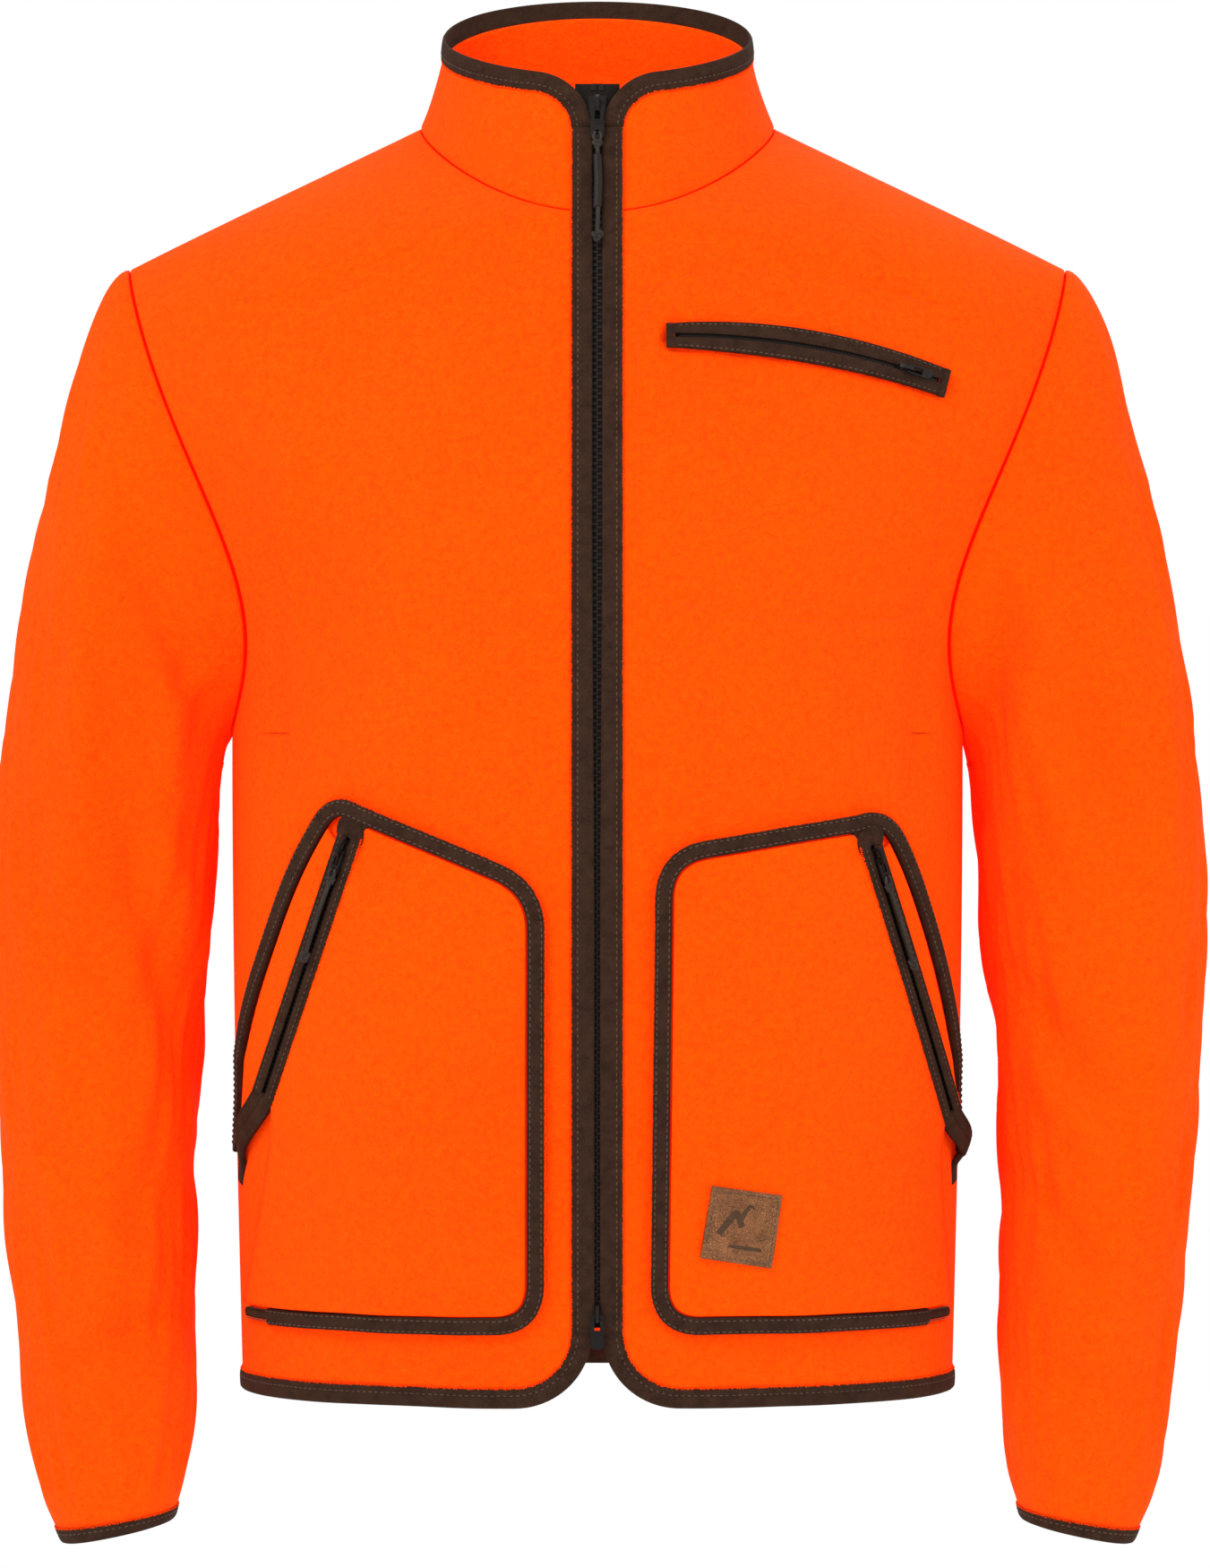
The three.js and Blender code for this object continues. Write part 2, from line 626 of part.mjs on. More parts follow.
// The bail, drawn along the track (x) and out of the surface (y), then stood on the top plate.
const bailThickness = 1.9;
const bailHeight = 5.4;
const bailLeg = 4.4;
function bail(plate) {
  const reach = bailLeg;
  const top = bailHeight;
  const bar = 1.2;
  const shape = new THREE.Shape();
  shape.moveTo(-reach, plate - 0.3);
  shape.lineTo(-reach, top - 1.6);
  shape.lineTo(-reach + 1.6, top);
  shape.lineTo(reach - 1.6, top);
  shape.lineTo(reach, top - 1.6);
  shape.lineTo(reach, plate - 0.3);
  shape.lineTo(reach - bar, plate - 0.3);
  shape.lineTo(reach - bar, top - bar - 0.8);
  shape.lineTo(reach - bar - 0.8, top - bar);
  shape.lineTo(-reach + bar + 0.8, top - bar);
  shape.lineTo(-reach + bar, top - bar - 0.8);
  shape.lineTo(-reach + bar, plate - 0.3);
  const geometry = new THREE.ExtrudeGeometry(shape, { depth: bailThickness, bevelEnabled: false });
  geometry.translate(0, 0, -bailThickness / 2);
  geometry.rotateX(Math.PI / 2);
  geometry.rotateZ(Math.PI / 2);
  return geometry;
}

// A pull tab: a plate with a window at its top, whose crossbar lies under the bail, and an eye below.
const tabThickness = 1.2;
function pullTab(width, length, eye) {
  const half = width / 2;
  const shape = new THREE.Shape([
    [-half, 0.6], [half, 0.6], [half, -length + 1.5], [half - 1.5, -length], [-half + 1.5, -length],
    [-half, -length + 1.5],
  ].map(([x, y]) => new THREE.Vector2(x, y)));
  const window = bailThickness / 2 + 0.6;
  shape.holes.push(new THREE.Path([[-window, -0.6], [-window, -7.4], [window, -7.4], [window, -0.6]]
    .map(([x, y]) => new THREE.Vector2(x, y))));
  if (eye) {
    const turns = Array.from({ length: 8 }, (_, i) => i * Math.PI / 4);
    shape.holes.push(new THREE.Path(turns.map((a) => new THREE.Vector2(
      eye * Math.cos(a), eye * Math.sin(a) - length + 3.2))));
  }
  const geometry = new THREE.ExtrudeGeometry(
    shape, { depth: tabThickness, bevelEnabled: false, curveSegments: 6 });
  geometry.translate(0, 0, -tabThickness / 2);
  return geometry;
}

// A tube with eight sides along points.
function cordTube(points, radius, count) {
  const circle = new THREE.Shape(Array.from({ length: 8 }, (_, i) => new THREE.Vector2(
    radius * Math.cos(i * Math.PI / 4), radius * Math.sin(i * Math.PI / 4))));
  return new THREE.ExtrudeGeometry(circle, {
    steps: count, bevelEnabled: false, extrudePath: new THREE.CatmullRomCurve3(points),
  });
}

// ---------- Hand pockets ----------

// The outline of each hand pocket, seen from the front: its peak beside the slanted zip, its upper
// inner corner, where its outer edge meets the side, and the ends and middle of its zip.
const handPockets = {
  left: {
    peak: [147, -380], corner: [34, -399], rim: [171, -416], side: [188, -508],
    zipTop: [137, -392], zipMiddle: [159, -464], zipEnd: [180, -535],
  },
  right: {
    peak: [134, -372], corner: [31, -415], rim: [163, -408], side: [187, -506],
    zipTop: [124, -388], zipMiddle: [145, -452], zipEnd: [169, -525],
  },
};
const pocketZipScale = 0.75;
const pocketFace = pocketLift + 6.4;
const pocketSideCorner = 183;
const zipBandHalf = 6.6;

const plane = ([x, z]) => new THREE.Vector2(x, z);
const straight = (a, b, from, to, n) => spread(from, to, n).map((k) => plane(a).lerp(plane(b), k));

// Points along a rounded corner between two straight runs.
function roundCorner(before, corner, after, radius, n) {
  const c = plane(corner);
  const from = plane(before).sub(c).setLength(radius).add(c);
  const to = plane(after).sub(c).setLength(radius).add(c);
  return new THREE.QuadraticBezierCurve(from, c, to).getPoints(n);
}

// A pocket's outline in three runs: up the outer edge to the peak, from the peak down the inner edge,
// and along the floor to the side. The inner edge starts a share of the way to the corner.
function pocketOutline(shape, topFrom = 0.08) {
  const { peak, corner, rim, side } = shape;
  const foot = [pocketInnerEdge, pocketFloorHeight];
  const end = [pocketSideCorner, pocketFloorHeight];
  const outer = new THREE.QuadraticBezierCurve(plane(side), plane(rim), plane(peak)).getPoints(9);
  const top = [
    ...straight(peak, corner, topFrom, 0.74, 5),
    ...roundCorner(peak, corner, foot, pocketCorner, 4),
    ...straight(corner, foot, 0.18, 0.82, 5),
    ...roundCorner(corner, foot, end, pocketCorner, 4),
  ];
  return { outer, top, floor: straight(foot, end, 0.24, 1, 9) };
}

// A line moved sideways in the plane, to its left when the distance is positive.
function shifted(points, distance) {
  return points.map((p, i) => {
    const ahead = points[Math.min(i + 1, points.length - 1)];
    const along = ahead.clone().sub(points[Math.max(i - 1, 0)]).normalize();
    return new THREE.Vector2(p.x - along.y * distance, p.y + along.x * distance);
  });
}

// The same line with evenly spaced points.
const evenly = (points, n) => new THREE.SplineCurve(points).getSpacedPoints(n);

function pocketTape(shape) {
  const { outer, top, floor } = pocketOutline(shape);
  const line = [...outer, ...top, ...floor].map((p) => onBody(-1, p.x, p.y, pocketLift));
  const half = pocketTapeWidth / 2;
  return strip(framesAlong(line), rectangle(-half, half, 0, pocketTapeThickness));
}

const pocketTrackPoints = (shape) => [shape.zipEnd, shape.zipMiddle, shape.zipTop]
  .map(([x, z]) => onBody(-1, x, z, pocketFace));
const pocketTrack = (shape) => {
  const [end, middle, top] = pocketTrackPoints(shape);
  return trackThrough(end.p, middle.p, top.p, middle.n);
};

// Cloth laid on the body from a line of plane points to a line of frames, lifting off to meet them.
const pocketColumns = [0, 0.14, 0.28, 0.41, 0.53, 0.64, 0.74, 0.83, 0.92, 1];
function laidCloth(line, edge, columns = pocketColumns) {
  const lift = pocketLift + cloth;
  return layer(line.map((start, i) => {
    const end = edge[i];
    const rest = end.p.clone().sub(onBody(-1, end.p.x, end.p.z, lift).p);
    return columns.map((k) => {
      const f = onBody(-1, lerp(start.x, end.p.x, k), lerp(start.y, end.p.z, k), lift);
      f.p.addScaledVector(rest, k ** 3);
      f.n.lerp(end.n, k ** 3).normalize();
      return f;
    });
  }));
}

const besideZip = (track, distance, across) => {
  const f = track.at(distance);
  return { p: f.p.clone().addScaledVector(f.w, across).addScaledVector(f.n, -0.9), n: f.n };
};
const tapeInset = pocketTapeWidth / 2 + 0.8;
const panelTopFrom = 0.26;

function pocketPanel(shape) {
  const track = pocketTrack(shape);
  const { top } = pocketOutline(shape, panelTopFrom);
  const rows = 20;
  const inner = shifted(evenly(top, rows), tapeInset);
  inner[rows].y = pocketFloorHeight + tapeInset;
  const along = 13;
  const edge = steps(rows).map((_, i) => {
    if (i <= along) {
      return besideZip(track, lerp(track.length, 0, i / along), -zipBandHalf - seamGap);
    }
    const share = (i - along) / (rows - along);
    const foot = pocketFloorHeight + tapeInset;
    const x = lerp(shape.zipEnd[0] - zipBandHalf, pocketSideCorner, share);
    return onBody(-1, x, lerp(shape.zipEnd[1], foot, share), pocketLift + cloth);
  });
  return laidCloth(inner, edge);
}

function pocketSidePanel(shape) {
  const track = pocketTrack(shape);
  const outer = shifted(evenly(pocketOutline(shape).outer, 9), tapeInset).slice(0, -1);
  const first = track.length * 0.22;
  const edge = outer.map((_, i) => besideZip(track, lerp(first, track.length - 6, i / 8), zipBandHalf + seamGap));
  return laidCloth(outer, edge, [0, 0.35, 0.7, 1]);
}

function leatherPatch(centre, width, height, turn, lift, thickness) {
  const grid = spread(-0.5, 0.5, 4).map((j) => spread(-0.5, 0.5, 4).map((i) => {
    const offset = new THREE.Vector2(i * width, j * height).rotateAround(new THREE.Vector2(), -turn);
    return onBody(-1, centre[0] + offset.x, centre[1] + offset.y, lift);
  }));
  return layer(grid, thickness, thickness);
}

// ---------- Chest pocket ----------

const chestZip = { outer: [178, -153], middle: [112, -137], inner: [39, -131.5] };
const chestScale = 0.55;
const chestFace = 3.4;
const chestWeltHalf = 6.8;
const chestTrack = (() => {
  const [outer, middle, inner] = [chestZip.outer, chestZip.middle, chestZip.inner]
    .map(([x, z]) => onBody(-1, x, z, chestFace));
  return trackThrough(outer.p, middle.p, inner.p, middle.n);
})();

// The slit in the front panel behind the chest zip.
const chestSlit = () => strip(chestTrack.between(1, chestTrack.length - 1, 12), rectangle(-3.1, 3.1, -11, -1));

// The bag behind the slit, a flat pouch sewn to the inside of the front.
const chestBag = { inner: 22, outer: 188, top: -108, floor: -277, corner: 0.8 };
function chestPouch() {
  const inside = -cloth - 2;
  return layer(steps(9).map((k) => {
    const z = lerp(chestBag.floor, chestBag.top, k);
    const outer = lerp(chestBag.outer - 8, chestBag.outer, k);
    return steps(10).map((c) => onBody(-1, lerp(chestBag.inner, outer, c ** chestBag.corner), z, inside));
  }), 0, 0.8);
}

// ---------- The jacket ----------

const jacket = new THREE.Group();
jacket.name = 'fleece jacket';

function add(parent, name, geometry, material) {
  const piece = new THREE.Mesh(geometry, material);
  piece.name = name;
  parent.add(piece);
  return piece;
}

function addPair(name, geometry, material) {
  add(jacket, `${name}_left`, geometry, material());
  add(jacket, `${name}_right`, mirrored(geometry), material());
}

// A slider on a track with its pull. The slider turns about the track's centre, and the pull about
// its own crossbar. The group's own axes are x across the track, y along it and z out of the cloth.
const crossbar = { along: -1.4, out: 2.6 };
function addSlider(name, track, distance, k, face, tab, lift = 0) {
  const turn = new THREE.Group();
  turn.name = `${name}_slider_turn`;
  turn.quaternion.setFromUnitVectors(V(1, 0, 0), track.axis);
  turn.position.copy(track.centre);
  jacket.add(turn);
  const station = track.at(distance);
  const place = new THREE.Group();
  place.quaternion.setFromRotationMatrix(new THREE.Matrix4().makeBasis(station.w, station.t, station.n));
  place.position.copy(station.p).addScaledVector(station.n, face);
  jacket.updateMatrixWorld(true);
  place.updateMatrixWorld(true);
  turn.attach(place);
  add(place, `${name}_slider`, sliderBody(k), zipMetal());
  const hinge = new THREE.Group();
  hinge.name = `${name}_pull_turn`;
  hinge.position.set(0, crossbar.along, crossbar.out);
  hinge.rotation.x = -lift;
  place.add(hinge);
  add(hinge, `${name}_pull_tab`, pullTab(tab.width, tab.length, tab.eye), zipMetal());
  return hinge;
}

// A cord through a tab's eye, drawn as one tube below the tab.
const cordRadius = 1.1;
const cordStart = 0.4;
function addCord(hinge, name, tabLength, length) {
  const start = tabLength + cordStart;
  const points = [V(0, -start, 0), V(0.6, -start - length / 2, 0.3), V(0, -start - length, 0)];
  const tube = cordTube(points, cordRadius, Math.max(4, Math.round(length / (cordRadius * 5))));
  add(hinge, `${name}_pull_cord`, tube, cordCloth());
}

const slit = chestSlit();
const front = frontPanel();
add(jacket, 'front_panel_left', cut(front, slit), fleece());
add(jacket, 'front_panel_right', mirrored(front), fleece());
const backLeft = backHalf();
add(jacket, 'back_panel', joined(backLeft, mirrored(backLeft)), fleece());
addPair('sleeve', sleeve(), fleece);
const collarLeft = collarHalf();
add(jacket, 'collar', joined(collarLeft, mirrored(collarLeft)), fleece());
add(jacket, 'hem_binding', hemBinding(), binding());
add(jacket, 'collar_binding', collarBinding(), binding());
addPair('front_binding', frontBinding(), binding);
addPair('cuff_binding', cuffBinding(), binding);

addPair('zip_tape', zipHalf(frontTrack, zipFrom, zipTo, 16, 1, mainFace, tapeWidth), zipCloth);
addPair('zip_top_stop', strip(frontTrack.between(zipTo + 0.4, zipTo + 4, 1), rectangle(0.6, 3.2, -6, -2.4)),
  zipPlastic);

const mainTab = { width: 7, length: 18, eye: 1.5 };
const topPull = addSlider('top', frontTrack, zipTo - 9, 1, mainFace, mainTab);
addCord(topPull, 'top', mainTab.length, 52);

const bottomStation = frontTrack.at(zipFrom + 9);
const bottomLift = Math.atan2(-bottomStation.t.y, bottomStation.t.z);
addSlider('bottom', frontTrack, zipFrom + 9, 1, mainFace, { width: 7, length: 17 }, bottomLift);

for (const side of ['left', 'right']) {
  const shape = handPockets[side];
  const track = pocketTrack(shape);
  const place = side === 'left' ? (geometry) => geometry : mirrored;
  const far = turnedOver(track);
  const gap = () => 1.35;
  const facing = (on) => flange(on, 0, track.length, 10, pocketZipScale, 0, zipBandHalf, gap);
  const half = (on) => zipHalf(on, 1, track.length - 1, 10, pocketZipScale, 0, zipBandHalf - 0.4);
  add(jacket, `pocket_panel_${side}`, place(pocketPanel(shape)), fleece());
  add(jacket, `pocket_side_panel_${side}`, place(pocketSidePanel(shape)), fleece());
  add(jacket, `pocket_tape_${side}`, place(pocketTape(shape)), binding());
  add(jacket, `pocket_facing_outer_${side}`, place(facing(track)), binding());
  add(jacket, `pocket_facing_inner_${side}`, place(facing(far)), binding());
  add(jacket, `pocket_zip_outer_${side}`, place(half(track)), zipCloth());
  add(jacket, `pocket_zip_inner_${side}`, place(half(far)), zipCloth());
  const flip = side === 'left' ? 1 : -1;
  const [end, middle, top] = pocketTrackPoints(shape).map((f) => V(flip * f.p.x, f.p.y, f.p.z));
  const facingOut = pocketTrackPoints(shape)[1].n.multiply(V(flip, 1, 1));
  const sliderTrack = trackThrough(end, middle, top, facingOut);
  const tab = { width: 5.4, length: 13, eye: 1.2 };
  const pull = addSlider(`pocket_${side}`, sliderTrack, track.length - 8, pocketZipScale, 0, tab);
  addCord(pull, `pocket_${side}`, tab.length, 44);
}

const chestGap = () => 1.35;
for (const [name, on] of [['upper', chestTrack], ['lower', turnedOver(chestTrack)]]) {
  const welt = flange(on, 0, chestTrack.length, 12, chestScale, 0, chestWeltHalf, chestGap);
  add(jacket, `chest_welt_${name}`, welt, binding());
  const half = zipHalf(on, 1, chestTrack.length - 1, 12, chestScale, 0, chestWeltHalf - 0.5);
  add(jacket, `chest_zip_${name}`, half, zipCloth());
}
addSlider('chest', chestTrack, 22, chestScale, 0, { width: 4.4, length: 13 });
add(jacket, 'chest_pocket_bag', chestPouch(), lining());
add(jacket, 'leather_patch', leatherPatch([72.6, -588], 35.5, 37.5, 0.157, pocketLift + cloth + 0.5, 1.2),
  leather());

export default jacket;
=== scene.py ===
# %% [markdown]
# # A fleece jacket
# The jacket is a shell of thick fleece with brushed bindings, five zips' worth of hardware and a
# leather patch. The packed frame gives the bodies that move, so it is loaded first.

# %% Load the frame
import json
import math

import bpy
import bmesh
import numpy as np
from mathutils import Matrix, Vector

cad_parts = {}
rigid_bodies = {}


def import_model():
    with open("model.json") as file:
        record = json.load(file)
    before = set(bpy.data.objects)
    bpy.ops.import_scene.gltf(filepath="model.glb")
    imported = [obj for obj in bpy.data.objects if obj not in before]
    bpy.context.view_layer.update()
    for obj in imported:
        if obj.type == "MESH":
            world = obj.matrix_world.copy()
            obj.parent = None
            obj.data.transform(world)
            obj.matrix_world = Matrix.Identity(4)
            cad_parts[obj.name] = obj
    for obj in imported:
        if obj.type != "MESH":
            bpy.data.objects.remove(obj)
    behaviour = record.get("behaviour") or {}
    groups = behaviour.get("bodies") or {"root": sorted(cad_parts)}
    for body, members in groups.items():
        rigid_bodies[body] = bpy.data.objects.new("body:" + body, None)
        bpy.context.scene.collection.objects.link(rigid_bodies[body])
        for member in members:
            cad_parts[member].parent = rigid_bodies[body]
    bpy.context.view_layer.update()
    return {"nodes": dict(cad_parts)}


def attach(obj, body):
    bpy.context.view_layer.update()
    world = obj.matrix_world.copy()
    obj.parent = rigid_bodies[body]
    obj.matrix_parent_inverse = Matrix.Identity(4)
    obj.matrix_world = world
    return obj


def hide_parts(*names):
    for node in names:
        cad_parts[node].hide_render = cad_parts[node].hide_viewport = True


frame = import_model()
rng = np.random.default_rng(7)

# %% [markdown]
# ## Driving sizes
# These are the pattern's sizes, in metres, the same ones that the solids were made from: +X is the
# wearer's left, -Y the front, and heights are measured from the middle of the neck opening.

# %% Sizes of the garment
MM = 0.001
SIDES = (("left", 1), ("right", -1))
hem_height = -684 * MM
underarm_height = -335 * MM
shoulder_height = -86 * MM
shoulder_half = 250 * MM
chest_half = 196 * MM
hem_half = 190 * MM
front_depth_hem, front_depth_chest, front_depth_collar = 118 * MM, 140 * MM, 88 * MM
back_depth_hem, back_depth_chest = 112 * MM, 128 * MM
chest_height = -350 * MM
seam_setback = 6 * MM
armhole_depth, armhole_scoop = 66 * MM, 24 * MM
cloth = 3 * MM

neck_half = 95 * MM
neck_front, neck_side, neck_back = -66 * MM, -10 * MM, 2 * MM
neck_back_depth = 54 * MM
collar_top_half = 82 * MM
collar_front_top, collar_back_top = 7 * MM, 65 * MM
collar_back_depth = 57 * MM

sleeve_length = 424 * MM
binding_width, binding_rise = 9.8 * MM, 1 * MM
flange_gap_top, flange_gap_bottom = 2.5 * MM, 1.4 * MM
panel_edge = flange_gap_top + binding_width + 0.2 * MM
panel_hem = hem_height + binding_width + 0.2 * MM
corner_radius = 30 * MM
print("body length", round(-hem_height + neck_back, 3))

# %% [markdown]
# ## Curves that the pieces share
# Each zip lies on a circle through three points, so that a slider can run along it. A station on the
# circle has a place, a direction along the zip, a direction across it and one out of the cloth.

# %% The circle through three points


class Track:
    """A circular zip line. Distances run from its first point."""

    def __init__(self, a, b, c, facing):
        a, b, c = (np.asarray(p, float) for p in (a, b, c))
        ab, ac = b - a, c - a
        axis = np.cross(ab, ac)
        to_centre = (np.cross(axis, ab) * (ac @ ac) + np.cross(ac, axis) * (ab @ ab)) / (2 * axis @ axis)
        self.centre = a + to_centre
        self.radius = np.linalg.norm(to_centre)
        self.axis = axis / np.linalg.norm(axis)
        self.start = (a - self.centre) / self.radius
        end = (c - self.centre) / self.radius
        angle = math.atan2(np.cross(self.start, end) @ self.axis, self.start @ end)
        self.length = angle * self.radius
        middle = self._radial(np.array(angle / 2))
        self.tilt = math.atan2(np.asarray(facing) @ self.axis, np.asarray(facing) @ middle)

    def _radial(self, angle):
        c, s = np.cos(angle)[..., None], np.sin(angle)[..., None]
        return self.start * c + np.cross(self.axis, self.start) * s

    def at(self, distance):
        """Places, directions along, across and out of the cloth, at each distance."""
        radial = self._radial(np.asarray(distance, float) / self.radius)
        along = np.cross(self.axis, radial)
        out = radial * math.cos(self.tilt) + self.axis * math.sin(self.tilt)
        return self.centre + radial * self.radius, along, np.cross(along, out), out


front_track = Track(
    (0, -front_depth_hem, hem_height),
    (0, -front_depth_chest, chest_height),
    (0, -front_depth_collar, collar_front_top),
    (0, -1, 0),
)
print("main zip line", round(front_track.length, 3), "radius", round(front_track.radius, 3))


def lerp(a, b, k):
    return a + (b - a) * k


def front_depth(z):
    rise = z - front_track.centre[2]
    return front_track.centre[1] - np.sqrt(front_track.radius**2 - rise**2)


def front_distance(z):
    angle = lambda h: np.arcsin((h - front_track.centre[2]) / front_track.radius)
    return front_track.radius * (angle(z) - angle(hem_height))


def back_depth(z):
    k = np.clip((z - hem_height) / (underarm_height - hem_height), 0, 1)
    return lerp(back_depth_hem, back_depth_chest, np.sin(k * np.pi / 2))


def xyz(x, y, z):
    return np.stack(np.broadcast_arrays(x, y, z), -1)


def bezier(p, t):
    t = np.asarray(t, float)[..., None]
    s = 1 - t
    return p[0] * s**3 + p[1] * 3 * s**2 * t + p[2] * 3 * s * t**2 + p[3] * t**3


# %% [markdown]
# ## The body's surface
# A jacket that stands open as if worn is a rounded box. Each row runs from the middle of the front or
# back to the side seam, as a quarter of a superellipse, and above the underarm the row is cut short
# by the armhole. One function gives every piece of the body its place, so that the pockets, tapes and
# bindings lie on the cloth without fitting.

# %% The neck seam, the armhole and the body's rows


def neck_seam(angle):
    """From the middle of the front (0) to the middle of the back (pi)."""
    c, s = np.cos(angle), np.sin(angle)
    front = c > 0
    reach = np.where(front, seam_setback - front_depth(neck_front), neck_back_depth - seam_setback)
    rise = np.where(
        front,
        lerp(neck_side, neck_front, 1 - (1 - c + s * s) / 2),
        lerp(neck_side, neck_back, c * c),
    )
    return xyz(neck_half * s, seam_setback - reach * c, rise)


back_upper = np.array([
    (0, back_depth_chest, underarm_height),
    (0, back_depth_chest + 4 * MM, lerp(underarm_height, neck_back, 0.45)),
    (0, back_depth_chest - 12 * MM, lerp(underarm_height, neck_back, 0.85)),
    (0, neck_back_depth, neck_back),
])
shoulder_point = np.array((shoulder_half, seam_setback, shoulder_height))
underarm_point = np.array((chest_half - 0.5 * MM, 0, underarm_height))
neck_share = 0.66


def power(value, exponent=0.87):
    return np.sign(value) * np.abs(value) ** exponent


def armhole(angle):
    """Round the armhole, from the shoulder (0) by the front to the underarm (pi)."""
    share = (1 - power(np.cos(angle))) / 2
    p = lerp(shoulder_point, underarm_point, share[..., None])
    p[..., 1] -= armhole_depth * power(np.sin(angle))
    p[..., 0] -= np.sin(np.pi * share * share) * armhole_scoop
    return p


def middle_line(face, v):
    v = np.asarray(v, float)
    k = np.clip((v - 1) / neck_share, 0, 1)
    low_z = lerp(hem_height, underarm_height, np.minimum(v, 1))
    if face < 0:
        z = np.where(v <= 1, low_z, lerp(underarm_height, neck_front, k**1.2))
        below = xyz(0, front_depth(z), z)
    else:
        below = np.where((v <= 1)[..., None], xyz(0, back_depth(low_z), low_z), bezier(back_upper, k))
    turn = np.clip((v - 1 - neck_share) / (1 - neck_share), 0, 1) * np.pi / 2
    above = neck_seam(turn if face < 0 else np.pi - turn)
    return np.where((v <= 1 + neck_share)[..., None], below, above)


def side_line(face, v):
    v = np.asarray(v, float)
    z = lerp(hem_height, underarm_height, np.minimum(v, 1))
    k = np.sin(np.clip(v, 0, 1) * np.pi / 2)
    seam = xyz(lerp(hem_half, chest_half - 0.5 * MM, k), 0, z)
    hole = armhole(-face * np.pi * (2 - np.maximum(v, 1)))
    return np.where((v > 1)[..., None], hole, seam)


def row_height(m, s, u, v):
    return lerp(m[..., 2], s[..., 2], u ** lerp(1.8, 1, np.clip((v - 1.5) * 2, 0, 1)))


def body_point(face, u, v):
    """The body's surface: u from the middle (0) to the side (1), v from the hem (0) by the underarm
    (1) to the shoulder seam (2)."""
    u, v = np.broadcast_arrays(np.asarray(u, float), np.asarray(v, float))
    m, s = middle_line(face, v), side_line(face, v)
    base = np.maximum(0, v - 1) * (seam_setback - face * 14 * MM)
    ratio = np.clip((s[..., 1] - base) / (m[..., 1] - base), 0, 0.96)
    end = (1 - ratio**2.2) ** (1 / 2.6)
    height = np.maximum(0, 1 - (u * end) ** 2.6) ** (1 / 2.2)
    y = s[..., 1] + (m[..., 1] - s[..., 1]) * (height - ratio) / (1 - ratio)
    return xyz(lerp(m[..., 0], s[..., 0], u), y, row_height(m, s, u, v))


def unit(a):
    return a / np.maximum(np.linalg.norm(a, axis=-1, keepdims=True), 1e-12)


def body_frame(face, u, v):
    """Places and outward directions on the body."""
    u, v = np.broadcast_arrays(np.asarray(u, float), np.asarray(v, float))
    d = 0.002
    du = body_point(face, np.clip(u + d, d, 1), v) - body_point(face, np.clip(u - d, 0, 1 - d), v)
    dv = body_point(face, u, np.clip(v + d, d, 2)) - body_point(face, u, np.clip(v - d, 0, 2 - d))
    n = unit(np.cross(du, dv) * -face)
    n[..., 1] *= np.clip((2 - v) / 0.12, 0, 1)
    return body_point(face, u, v), unit(n)


def on_body(face, x, z):
    """Places and outward directions on the body at a width and a height."""
    x, z = np.broadcast_arrays(np.asarray(x, float), np.asarray(z, float))
    low, high = np.full(x.shape, -0.1), np.full(x.shape, 2.0)
    u = np.zeros(x.shape)
    for _ in range(34):
        v = (low + high) / 2
        m, s = middle_line(face, v), side_line(face, v)
        u = np.clip((x - m[..., 0]) / (s[..., 0] - m[..., 0]), 0, 1)
        under = row_height(m, s, u, v) < z
        low, high = np.where(under, v, low), np.where(under, high, v)
    return body_frame(face, u, low)


print("shoulder seam from", np.round(neck_seam(np.pi / 2), 3), "to", np.round(shoulder_point, 3))

# %% [markdown]
# A sleeve is a stack of rings. The first is the armhole itself, the next ones fan round under the
# arm, and the rest hang and narrow to the cuff. Widths and depths down the arm are smooth lines
# through a few sizes, as on a paper pattern.

# %% The sleeve's rings


def catmull(points):
    """A smooth line through points, as (places, values) for np.interp."""
    p = np.asarray(points, float)
    padded = np.vstack([p[:1], p, p[-1:]])
    out = []
    for a, b, c, d in zip(padded, padded[1:], padded[2:], padded[3:]):
        for t in np.linspace(0, 1, 24, endpoint=False):
            out.append(0.5 * (2 * b + (c - a) * t + (2 * a - 5 * b + 4 * c - d) * t**2
                              + (3 * b - a - 3 * c + d) * t**3))
    out.append(p[-1])
    return np.array(out).T


bicep_width, elbow_width, wrist_width, cuff_width = (w * MM for w in (117, 102, 78, 58))
bicep_depth, elbow_depth, wrist_depth, cuff_depth = (w * MM for w in (132, 116, 90, 74))
bicep_outer = np.array((chest_half + 2 * MM + bicep_width, 0, underarm_height))
shoulder_line = np.array([
    shoulder_point,
    shoulder_point + np.array((26, 0, -4)) * MM,
    bicep_outer + np.array((-20, 0, 120)) * MM,
    bicep_outer,
])
sleeve_widths = catmull([(0, bicep_width), (0.22, bicep_width), (0.54, elbow_width),
                         (0.8, lerp(elbow_width, wrist_width, 0.45)), (0.93, wrist_width), (1, cuff_width)])
sleeve_depths = catmull([(0, bicep_depth), (0.22, lerp(bicep_depth, elbow_depth, 0.4)), (0.54, elbow_depth),
                         (0.8, lerp(elbow_depth, wrist_depth, 0.5)), (0.93, wrist_depth), (1, cuff_depth)])
sleeve_outs = catmull([(0, 3 * MM), (0.22, 12 * MM), (0.54, 20 * MM), (0.8, 20 * MM), (0.93, 24 * MM),
                       (1, 31 * MM)])


